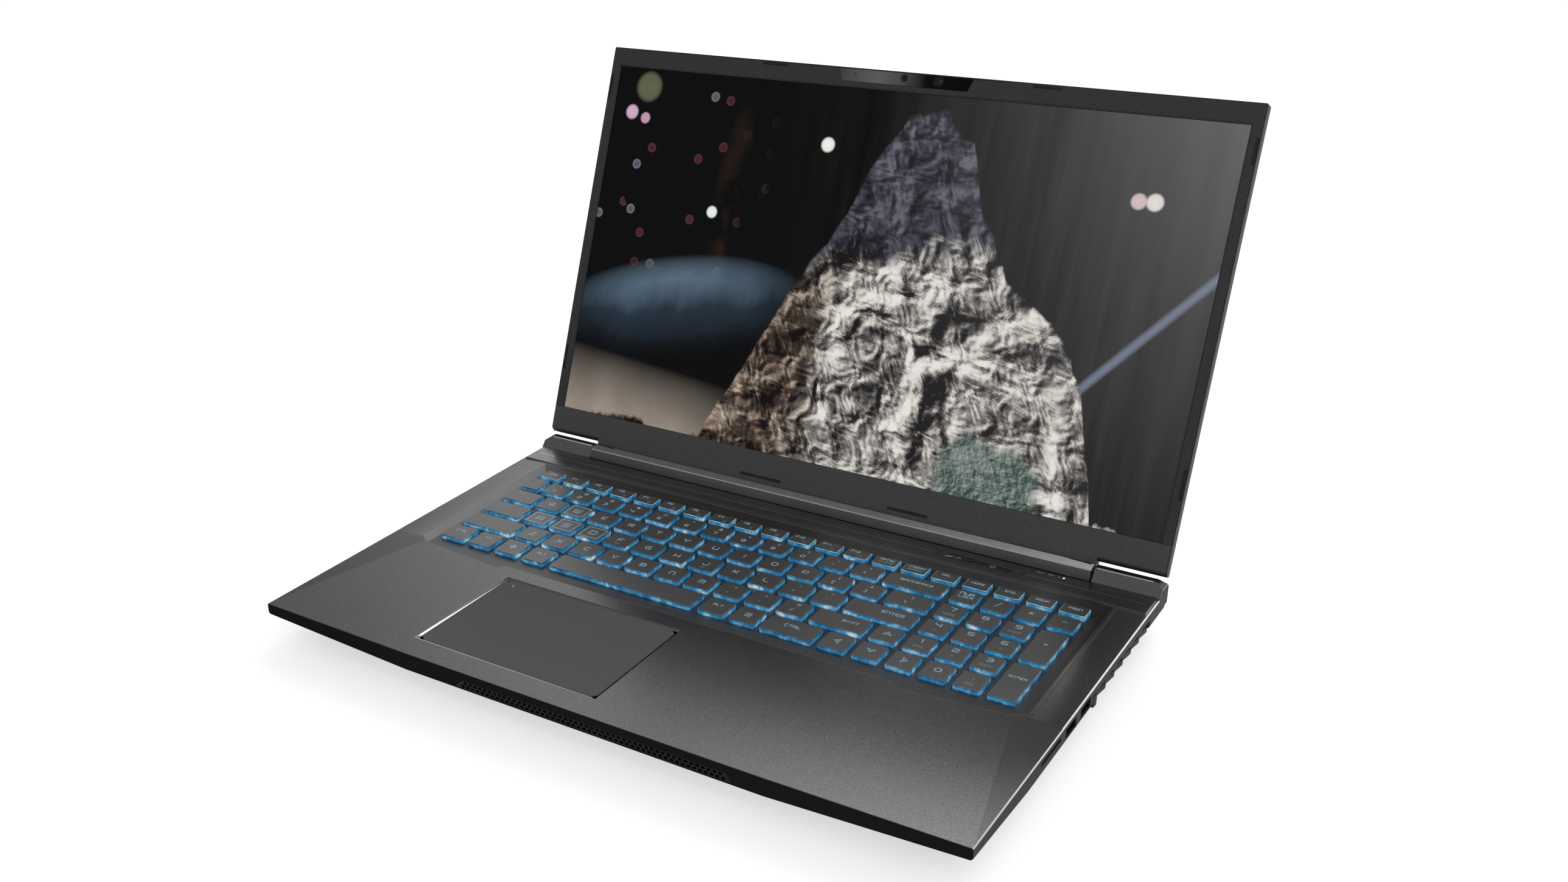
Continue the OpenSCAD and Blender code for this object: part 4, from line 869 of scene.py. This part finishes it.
# Each CAD node's keys: outline (x0, x1, y0, y1) and legend (kind, then its texts).
FN_LEGENDS = [["fn", "F%d" % i] for i in range(1, 13)] + [
    ["small", "PRTSC", "SYSRQ"], ["small", "INSERT", "BREAK"], ["small", "DEL"]]
MODIFIERS = [((-172, -156.3), ["word", "CTRL"]), ((-152.8, -137.8), ["word", "FN"]),
             ((-133.9, -119), ["home"]), ((-114.8, -100.2), ["word", "ALT"]),
             ((-1, 14.2), ["word", "ALT"]), ((17.8, 32.4), ["menu"]),
             ((35.9, 64.8), ["word", "CTRL"])]
NUMPAD = [(["num_word", "1", "END"], ["num_sign", "2", "v"], ["num_word", "3", "PGDN"]),
          (["num_sign", "4", "<"], ["num_sign", "5", "_"], ["num_sign", "6", ">"]),
          (["num_word", "7", "HOME"], ["num_sign", "8", "^"], ["num_word", "9", "PGUP"]),
          (["word2", "NUM", "LOCK"], ["sign", "/"], ["sign", "*"])]
KEYS = {
    "escape_key": [(row_key(-171.7, -158.1, 5), ["word", "ESC"])],
    "function_keys": [
        (row_key(-171.7 + FN_PITCH * i, -158.1 + FN_PITCH * i, 5), spec)
        for i, spec in enumerate(FN_LEGENDS, 1)]
    + [(row_key(*COLUMN[i], 5), ["word", text])
       for i, text in enumerate(("HOME", "END", "PGUP", "PGDN"))],
    "number_keys": typed([row_key(-171.9, -160.8, 4)] + key_run(-157.9, 12, 4),
                         "`1234567890-=", "~!@#$%^&*()_+"),
    "backspace_key": [(row_key(67.4, 100.5, 4), ["word", "BACKSPACE"])],
    "upper_letter_keys": [(row_key(-172, -151.5, 3), ["left", "TAB"])]
    + typed(key_run(-148.4, 12, 3), "QWERTYUIOP[]", "..........{}")
    + [(row_key(77.2, 100.5, 3), ["pair", "\\", "|"])],
    "home_letter_keys": [(row_key(-172, -146.7, 2), ["left2", "CAPS", "LOCK"])]
    + typed(key_run(-143.2, 11, 2), "ASDFGHJKL;'", ".........:\""),
    "enter_key": [(row_key(63.1, 100.5, 2), ["enter", "ENTER"])],
    "left_shift_key": [(row_key(-172.2, -137.3, 1), ["left", "SHIFT"])],
    "lower_letter_keys": typed(key_run(-134.4, 10, 1), "ZXCVBNM,./", ".......<>?")
    + [(row_key(53.5, 83.2, 1), ["right", "SHIFT"])],
    "modifier_keys": [(row_key(*ends, 0), spec) for ends, spec in MODIFIERS],
    "space_bar": [(row_key(-96.1, -5.1, 0), ["blank"])],
    "up_arrow_key": [(row_key(87.2, 101, 1), ["arrow", 0])],
    "left_arrow_key": [(row_key(68.6, 83.2, 0), ["arrow", 90])],
    "down_arrow_key": [(row_key(87.2, 101, 0), ["arrow", 180])],
    "right_arrow_key": [(row_key(*COLUMN[0], 0), ["arrow", 270])],
    "numpad_keys": [(row_key(*COLUMN[i], row), spec)
                    for row, line in enumerate(NUMPAD, 1) for i, spec in enumerate(line)]
    + [(row_key(*COLUMN[3], 4), ["sign", "-"]),
       ((*COLUMN[3], ROW[2][0], ROW[3][1]), ["sign", "+"]),
       ((*COLUMN[3], ROW[0][0], ROW[1][1]), ["word", "ENTER"]),
       (row_key(*COLUMN[1], 0), ["num", "0"]), (row_key(*COLUMN[2], 0), ["num_word", ".", "DEL"])],
}

# ------------------------------------------------------------------ legends
# Strokes of each sign on a grid 4 wide and 6 high; each point is a column and a row digit.
GLYPHS = {
    "A": "00 05 16 36 45 40;02 42", "B": "00 06 36 45 44 33 42 41 30 00;03 33",
    "C": "46 16 05 01 10 40", "D": "00 06 36 45 41 30 00", "E": "46 16 05 01 10 40;03 33",
    "F": "00 05 16 46;03 33", "G": "46 16 05 01 10 40 43 23", "H": "00 06;40 46;03 43",
    "I": "20 26", "J": "46 41 30 10 01 02", "K": "00 06;46 13 40;03 13", "L": "06 01 10 40",
    "M": "00 05 16 36 45 40;26 20", "N": "00 06 36 45 40", "O": "10 01 05 16 36 45 41 30 10",
    "P": "00 06 36 45 43 32 02", "Q": "10 01 05 16 36 45 41 30 10;22 50",
    "R": "00 06 36 45 44 33 03;23 40", "S": "46 16 05 04 13 33 42 41 30 00",
    "T": "06 46;26 20", "U": "06 01 10 30 41 46", "V": "06 20 46",
    "W": "06 01 10 30 41 46;20 25", "X": "00 46;06 40", "Y": "06 04 13 33 44 46;23 20",
    "Z": "06 46 00 40", "0": "10 01 05 16 36 45 41 30 10", "1": "15 26 20",
    "2": "06 36 45 44 33 13 02 00 40", "3": "06 36 45 44 33 42 41 30 00;13 33",
    "4": "06 04 13 43;46 40", "5": "46 06 03 33 42 41 30 00",
    "6": "46 16 05 01 10 30 41 42 33 03", "7": "06 46 45 20",
    "8": "13 04 05 16 36 45 44 33 13 02 01 10 30 41 42 33", "9": "00 30 41 45 36 16 05 04 13 43",
    "-": "13 33", "=": "12 32;14 34", "[": "36 16 10 30", "]": "16 36 30 10",
    "{": "36 25 24 13 22 21 30", "}": "16 25 24 33 22 21 10", "\\": "16 30", "|": "26 20",
    "/": "10 36", ";": "24 25;22 11", ":": "24 25;21 22", "'": "25 26", '"': "15 16;25 26",
    ",": "22 11", ".": "20 21", "`": "16 25", "~": "13 24 23 34", "!": "26 22;20 21",
    "@": "32 34 24 22 42 45 36 16 05 01 10 40", "#": "10 16;30 36;02 42;04 44",
    "$": "45 05 04 13 33 42 41 01;26 20", "%": "00 46;05 16;30 41", "^": "14 26 34",
    "&": "40 14 15 26 35 02 01 10 20 42", "*": "22 24;12 34;14 32", "(": "36 25 21 30",
    ")": "16 25 21 10", "_": "10 30", "+": "13 33;22 24", "<": "34 13 32", ">": "14 33 12",
    "?": "05 16 36 45 34 23 22;20 21", "v": "14 22 34",
}
INK = (KEY_TOP - 0.01, KEY_TOP + 0.025)         # levels of the legend ink
# For each text of a kind: centre as fractions of the key, then letter width, letter height,
# gap, stroke and material slot (0 lit, 1 dim).
TEXT_STYLES = {
    "letter": [(0.5, 0.52, 3.1, 3.2, 0, 0.38, 0)],
    "pair": [(0.44, 0.36, 2.3, 2.5, 0, 0.32, 0), (0.52, 0.74, 2.0, 2.2, 0, 0.28, 0)],
    "num": [(0.5, 0.55, 3.1, 3.1, 0, 0.38, 0)],
    "num_word": [(0.5, 0.70, 3.1, 3.1, 0, 0.38, 0), (0.5, 0.30, 1.35, 1.75, 0.42, 0.22, 1)],
    "num_sign": [(0.5, 0.70, 3.1, 3.1, 0, 0.38, 0), (0.5, 0.32, 2.6, 3.0, 0, 0.3, 1)],
    "sign": [(0.5, 0.58, 4.4, 5.4, 0, 0.30, 0)],
    "enter": [(0.66, 0.60, 1.95, 2.3, 0.62, 0.30, 0)],
    "right": [(0.66, 0.60, 1.45, 1.75, 0.48, 0.24, 0)],
    "left": [(0.32, 0.68, 1.75, 2.2, 0.55, 0.28, 1)],
    "left2": [(0.34, 0.76, 1.75, 2.1, 0.55, 0.28, 1), (0.30, 0.52, 1.75, 2.1, 0.55, 0.28, 1)],
    "word2": [(0.47, 0.74, 2.1, 2.2, 0.55, 0.36, 0), (0.52, 0.50, 1.7, 1.9, 0.5, 0.28, 0)],
    "fn": [(0.34, 0.72, 1.35, 1.9, 0.4, 0.26, 0)],
    "small": [(0.5, 0.66, 1.4, 1.7, 0.4, 0.22, 0), (0.5, 0.36, 1.3, 1.5, 0.4, 0.2, 1)],
}


def word_style(text, key_width):
    """Style of a plain word, with letters sized to suit the key."""
    if len(text) > 6:
        width = 1.6
    elif len(text) <= 5 and key_width > 20:
        width = 1.9
    else:
        width = 1.5 if len(text) <= 4 and key_width > 14.2 else 1.4
    return (0.5, 0.62, width, width * 1.15, 0.50 if width > 1.55 else 0.45,
            0.23 if width < 1.8 else 0.27, 0)


def glyph_lines(sign, x, y, width, height):
    """The strokes of a sign centred on (x, y)."""
    for part in GLYPHS[sign].split(";"):
        yield [(x + (int(column) / 4 - 0.5) * width, y + (int(row) / 6 - 0.5) * height)
               for column, row in part.split()]


def word(build, text, x, y, width, height, gap, stroke, mat):
    total = len(text) * width + (len(text) - 1) * gap
    for i, sign in enumerate(text):
        at_x = x - total / 2 + width / 2 + i * (width + gap)
        for points in glyph_lines(sign, at_x, y, width, height):
            closed = len(points) > 2 and points[0] == points[-1]
            build.ribbon(points, stroke, INK, mat, closed)


def outline_glyph(build, sign, x, y, width, height):
    """Hollow letter: both edges of a broad stroke."""
    for points in glyph_lines(sign, x, y, width, height):
        closed = points[0] == points[-1]
        if closed:
            points = points[:-1]
        left, right = [], []
        for point, mitre, normal, end in joints([Vector(p) for p in points], closed):
            reach = 0.42 / max(0.4, mitre.dot(normal))
            middle = point + end * 0.3
            left.append(tuple(middle + mitre * reach))
            right.append(tuple(middle - mitre * reach))
        for edge in ((left, right) if closed else (left + right[::-1],)):
            build.ribbon(edge, 0.2, INK, closed=True)


def legend(build, key, spec):
    x0, x1, y0, y1 = key
    kind, *texts = spec

    def at(u, v):
        return x0 + u * (x1 - x0), y0 + v * (y1 - y0)

    def line(points, width, mat=0, closed=False):
        build.ribbon(points, width, INK, mat, closed)

    if kind == "letter" and texts[0] in "WASD":
        outline_glyph(build, texts[0], *at(0.5, 0.5), 3.9, 3.9)
        line(rect(*at(0.1, 0.11), *at(0.9, 0.89)), 0.3, closed=True)
    elif kind == "word":
        u, v, *style = word_style(texts[0], x1 - x0)
        word(build, texts[0], *at(u, v), *style)
    else:
        for text, (u, v, *style) in zip(texts, TEXT_STYLES.get(kind, ())):
            word(build, text, *at(u, v), *style)

    x, y = at(0.5, 0.55)
    if kind == "letter" and texts[0] in "FJ":
        # raised bar
        build.ribbon([at(0.40, 0.22), at(0.60, 0.22)], 0.3, (KEY_TOP - 0.01, KEY_TOP + 0.12), 1)
    elif kind == "fn":
        # small sign at the front right: ring, framed box, horn or cross in turn
        x, y = at(0.68, 0.30)
        turn = int(texts[0][1:]) % 4
        if turn == 0:
            build.ring(x, y, 0.75, 0.18, INK, segments=14, mat=1)
        elif turn == 1:
            line(rect(x - 1, y - 0.6, x + 1, y + 0.7), 0.18, 1, True)
            line([(x - 0.6, y - 1.1), (x + 0.6, y - 1.1)], 0.2, 1)
        elif turn == 2:
            line([(x - 1.2, y - 0.4), (x - 0.6, y - 0.4), (x, y - 1), (x, y + 1),
                  (x - 0.6, y + 0.4), (x - 1.2, y + 0.4)], 0.18, 1, True)
            line([(x + 0.7, y - 0.6), (x + 1.0, y), (x + 0.7, y + 0.6)], 0.18, 1)
        else:
            line([(x - 1, y), (x + 1, y)], 0.2, 1)
            line([(x, y - 0.9), (x, y + 0.9)], 0.2, 1)
    elif kind == "home":
        line([(x - 2, y), (x, y - 1.9), (x + 2, y), (x, y + 1.9)], 0.36, closed=True)
        build.disc(x, y, 0.62, INK, segments=14)
    elif kind == "menu":
        line(rect(x - 1.4, y - 1.6, x + 1.4, y + 1.6), 0.24, closed=True)
        for rise in (-0.7, 0.0, 0.7):
            line([(x - 0.7, y + rise), (x + 0.7, y + rise)], 0.22)
    elif kind == "arrow":
        turn = math.radians(texts[0])
        arrow = [(-2.3, -1.2), (0, 1.6), (2.3, -1.2), (0.95, -1.2), (0, 0.05), (-0.95, -1.2)]
        line([(x + dx * math.cos(turn) - dy * math.sin(turn),
               y + dx * math.sin(turn) + dy * math.cos(turn)) for dx, dy in arrow],
             0.3, closed=True)


# ------------------------------------------------------------------ keycaps
CAP_RADIUS = 1.05
CAP_WALL = 1.15                     # thickness of the skirt and of the top
# loops up the cap: inset, height; six for the skirt and its rim, two for the painted top
CAP_LOOPS = [(0.10, KEY_BOTTOM), (0.0, KEY_BOTTOM + 0.25), (0.0, KEY_TOP - 0.42),
             (0.04, KEY_TOP - 0.24), (0.14, KEY_TOP - 0.09), (0.28, KEY_TOP - 0.01),
             (0.36, KEY_TOP), (0.75, KEY_TOP)]
TOP, SKIRT, RIM = 0, 1, 2           # material slots


def cap_loop(key, inset, radius, z):
    """Rounded rectangle at height z, anticlockwise from its front right corner."""
    x0, x1, y0, y1 = key
    x0, x1, y0, y1 = x0 + inset, x1 - inset, y0 + inset, y1 - inset
    points = []
    for x, y, start in ((x1 - radius, y0 + radius, -90), (x1 - radius, y1 - radius, 0),
                        (x0 + radius, y1 - radius, 90), (x0 + radius, y0 + radius, 180)):
        for i in range(5):
            points.append(base_point(*on_circle(x, y, radius, math.radians(start + 90 * i / 4)),
                                     z))
    return points


def keycap(build, key):
    """Clear lit skirt with a soft rim, a dark painted top and a hollow underside."""
    loops = [cap_loop(key, inset, max(CAP_RADIUS - inset, 0.05), z) for inset, z in CAP_LOOPS]
    loops += [cap_loop(key, CAP_WALL, 0.4, z) for z in (KEY_BOTTOM, KEY_TOP - CAP_WALL)]
    count = len(loops[0])
    pairs = [(i, (i + 1) % count) for i in range(count)]
    faces, mats = [], []

    def quad(lower, upper, i, j, mat):
        faces.append((lower * count + i, lower * count + j, upper * count + j, upper * count + i))
        mats.append(mat)

    for level in range(5):
        # only the rearmost row shows a bright rim
        mat = RIM if level >= 3 and key[2] > 200 else SKIRT
        for i, j in pairs:
            quad(level, level + 1, i, j, mat)
    for i, j in pairs:
        quad(5, 6, i, j, TOP)
        quad(6, 7, i, j, TOP)
    faces.append(tuple(7 * count + i for i in range(count)))
    mats.append(TOP)
    for i, j in pairs:
        quad(0, 8, j, i, SKIRT)
        quad(8, 9, j, i, SKIRT)
    faces.append(tuple(9 * count + i for i in range(count))[::-1])
    mats.append(SKIRT)
    build.add([point for loop in loops for point in loop], faces, mats)


for node, keys in KEYS.items():
    build = Builder()
    for key, _ in keys:
        keycap(build, key)
    caps = mesh_object(node + "_caps", build.verts, build.faces,
                       ["key_top", "key_side_lit", "key_rim_lit"], build.mats, smooth=True)
    caps.data.set_sharp_from_angle(angle=math.radians(50))
    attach(caps, node)
    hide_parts(node)
    build = Builder()
    for key, spec in keys:
        legend(build, key, spec)
    if build.verts:
        build.make(node + "_legends", ["legend_ink_lit", "legend_ink_dim"], node)


# ------------------------------------------------------------------ lid
def lid_edge(edge):
    """Edges of the flat seat and cavity behind the bezel stay sharp."""
    return not all(0.9 < lid_terms(vert.co)[2] < 5.6 for vert in edge.verts)


def pick_bar(centre, normal):
    """The facet that faces up the screen and out of its front is brushed and lighter, a painted
    highlight.
    """
    _, up, behind = lid_terms(centre)
    _, tip_up, tip_behind = lid_terms(centre + normal * 0.001)
    facing = (tip_behind - behind) < -0.35 and (tip_up - up) > 0.6
    return "bar_top_brushed" if facing else "bar_coat"


refine("lid_back_cover", "lid_back_shell", "lid", 0.3, ["lid_coat"], keep=lid_edge)
refine("screen_bezel", "screen_bezel_frame", "lid", 0.12, ["bezel_grain"])
refine("lower_bezel", "lower_bezel_strip", "lid", 0.14, ["lower_bezel_grain"])
refine("hinge_bar", "hinge_bar_shell", "lid", 0.35, ["bar_coat", "bar_top_brushed"],
       pick_bar)

# glint along an edge of the hinge bar; the profile is (up, behind)
BAR_X = 159.9
BAR_EDGE = ((-21.78, -6.66), (-21.62, -6.80), (-21.18, -6.16), (-21.30, -6.0))
build = Builder()
build.rod(-BAR_X, BAR_X, BAR_EDGE, place=lid_point)
build.make("hinge_bar_edge_glint", ["edge_glint"], "lid")

refine("camera_window", "camera_window_glass", "lid", 0.08, ["camera_window_film_painted_reflection"])
refine("bezel_bumpers", "bezel_bumper_set", "lid", 0.14, ["soft_rubber"])


def screen_slab():
    """The lit picture: a thin slab just in front of the panel, inside the bezel window."""
    half_width, foot, height = 190.93, 0.03, 214.74
    depths = (1.385, 1.43)          # front and rear faces, behind the lid's front face
    columns, rows = 24, 14
    line = columns + 1
    layer = line * (rows + 1)
    verts, faces, uv = [], [], []
    for depth in depths:
        for j in range(rows + 1):
            for i in range(line):
                verts.append(lid_point(-half_width + 2 * half_width * i / columns,
                                       foot + height * j / rows, depth))
                uv.append((i / columns, j / rows))
    for j in range(rows):
        for i in range(columns):
            a = j * line + i
            b = layer + a
            faces.append((a, a + 1, a + line + 1, a + line))
            faces.append((b, b + line, b + line + 1, b + 1))
    rim = list(range(line)) + [j * line + columns for j in range(1, rows + 1)]
    rim += [rows * line + i for i in range(columns - 1, -1, -1)]
    rim += [j * line for j in range(rows - 1, 0, -1)]
    for a, b in zip(rim, rim[1:] + rim[:1]):
        faces.append((a, layer + a, layer + b, b))
    slab = mesh_object("screen_picture_slab", verts, faces, ["screen_picture"], uv=uv)
    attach(slab, "lid")


screen_slab()

# camera lens, and a ringed disc to its right
LENS_Y = 222.5
DISC_X, DISC_Y = 20.5, 222.4
build = Builder()
build.ring(0, LENS_Y, 2.05, 0.35, (-0.1, 0.12), segments=32, place=lid_front)
build.dome(0, LENS_Y, 1.75, -0.1, 0.12, mat=1, place=lid_front)
build.ring(DISC_X, DISC_Y, 3.0, 0.18, (0.04, 0.07), segments=36, mat=2, place=lid_front)
build.disc(DISC_X, DISC_Y, 2.85, (0.03, 0.06), segments=32, mat=3, place=lid_front)
build.make("camera_lens", ["black_steel", "gloss_black", "moulded_black", "gloss_black"], "lid",
           smooth=True)

# ------------------------------------------------------------------ CAD nodes that stay
STAYING = {
    "grille_black": ["front_grille"],
    "vent_moulding": ["side_vents"],
    "stamped_sheet": ["keyboard_plate", "touchpad_bracket", "heatsink_fins", "hard_drive"],
    "silicone": ["dome_sheet"],
    "circuit_board": ["button_board", "motherboard", "memory_modules", "ssd_module",
                      "camera_module"],
    "chip_package": ["processor_chips"],
    "drawn_copper": ["heat_pipes", "wifi_antennas"],
    "moulded_black": ["fan_housings", "fan_left_rotor", "fan_right_rotor", "speakers",
                      "lan_port", "audio_jacks"],
    "stamped_steel": ["wifi_card", "rear_ports", "hinge_brackets", "hinge_arms"],
    "battery_film": ["battery_pack"],
    "port_shell_dark": ["usb_ports", "card_reader"],
    "soft_rubber": ["rubber_feet"],
    "black_steel": ["case_screws", "lid_screws"],
    "gloss_black": ["lcd_panel"],
    "cable_jacket": ["display_cable"],
}
for mat, nodes in STAYING.items():
    for node in nodes:
        slots = NODES[node].data.materials
        slots.clear()
        slots.append(MATERIALS[mat])


# ------------------------------------------------------------------ floor, light, camera
def make_floor():
    """Pale floor that looks brighter to the camera than it lights the laptop."""
    mat = Shader("floor_pale")
    mat.set("Base Color", mat.mix(mat.noise(6, detail=3.0), grey(0.80), grey(0.84)))
    mat.set("Roughness", 0.7)
    mat.set("Specular IOR Level", 0.1)
    path = mat.node("ShaderNodeLightPath")
    mat.set("Emission Color", grey(1.0))
    mat.set("Emission Strength", mat.mul(path.outputs["Is Camera Ray"], 0.60))
    bpy.ops.mesh.primitive_plane_add(size=14, location=(0, 0, 0))
    floor = bpy.context.object
    floor.name = "floor"
    floor.data.materials.append(MATERIALS["floor_pale"])


def make_world():
    """Soft studio: bright behind the laptop, dimmer to the sides, the front and overhead."""
    # how straight behind a direction lies (0 side, 1 behind), level of light
    lobe_curve = [(0.0, 0.13), (0.50, 0.14), (0.66, 0.13), (0.70, 0.165), (0.75, 0.28),
                  (0.80, 0.32), (0.84, 0.40), (0.88, 0.56), (0.93, 0.76), (1.0, 0.86)]
    lobe_gain = 2.6
    ambient = 0.35
    fade_start, fade_span = 0.66, 0.26      # upward component over which the lobe fades

    world = bpy.data.worlds.new("studio")
    world.use_nodes = True
    sky = Nodes(world.node_tree)
    dx, dy, dz = sky.axes(sky.coord("Generated"))
    # the small term avoids a division by zero straight up
    level = sky.calc("SQRT", sky.add(sky.add(sky.mul(dx, dx), sky.mul(dy, dy)), 1e-5))
    behind = sky.div(dy, level)
    curve = sky.node("ShaderNodeFloatCurve")
    points = curve.mapping.curves[0].points
    points[0].location = lobe_curve[0]
    for place in lobe_curve[1:-1]:
        points.new(*place)
    points[-1].location = lobe_curve[-1]
    for point in points:
        point.handle_type = "VECTOR"
    curve.mapping.update()
    sky.link(sky.calc("MAXIMUM", behind, 0.0), curve.inputs["Value"])
    lobe = sky.sub(sky.mul(curve.outputs[0], lobe_gain), lobe_gain * lobe_curve[0][1])
    low = sky.sub(1.0, sky.div(sky.sub(dz, fade_start), fade_span, clamp=True))
    strength = sky.add(sky.mul(lobe, low), ambient)

    # the camera itself sees plain white
    path = sky.node("ShaderNodeLightPath")
    mix = sky.node("ShaderNodeMixShader")
    sky.link(path.outputs["Is Camera Ray"], mix.inputs[0])
    for index, value in ((1, strength), (2, 1.0)):
        background = sky.node("ShaderNodeBackground")
        sky.feed(background.inputs["Strength"], value)
        sky.feed(background.inputs["Color"], grey(1))
        sky.link(background.outputs[0], mix.inputs[index])
    output = sky.node("ShaderNodeOutputWorld")
    sky.link(mix.outputs[0], output.inputs[0])
    bpy.context.scene.world = world


def make_fill():
    """Soft area light at the front right, in metres and watts."""
    place, target = Vector((0.9, -1.3, 1.2)), Vector((0, 0, 0.1))
    data = bpy.data.lights.new("fill_soft", "AREA")
    data.energy = 7.0
    data.size = 1.4
    light = bpy.data.objects.new("fill_soft", data)
    light.location = place
    light.rotation_euler = (target - place).to_track_quat("-Z", "Y").to_euler()
    bpy.context.scene.collection.objects.link(light)


def make_camera():
    """Camera at the front right, above the laptop and looking down at it."""
    right = (0.8361797822668845, 0.5478880692198678, -0.024940636206743888)
    up = (-0.21008630115819013, 0.36197386188482383, 0.908206292301431)
    back = (0.5066232503483649, -0.7541840537407082, 0.4177790029281827)
    data = bpy.data.cameras.new("camera")
    data.sensor_fit = "HORIZONTAL"
    data.sensor_width = 36.0
    data.lens = 36.6195001
    data.shift_x = 0.0794120342         # shifts are fractions of the sensor width
    data.shift_y = 0.0279408773
    data.clip_start = 0.02
    camera = bpy.data.objects.new("camera", data)
    turn = Matrix((right, up, back)).transposed().to_4x4()
    place = base_point(385.01532, -496.0435093, DECK + 400.9715906)
    camera.matrix_world = Matrix.Translation(place) @ turn
    bpy.context.scene.collection.objects.link(camera)
    bpy.context.scene.camera = camera


make_floor()
make_world()
make_fill()
make_camera()
bpy.context.scene.view_settings.view_transform = "Standard"
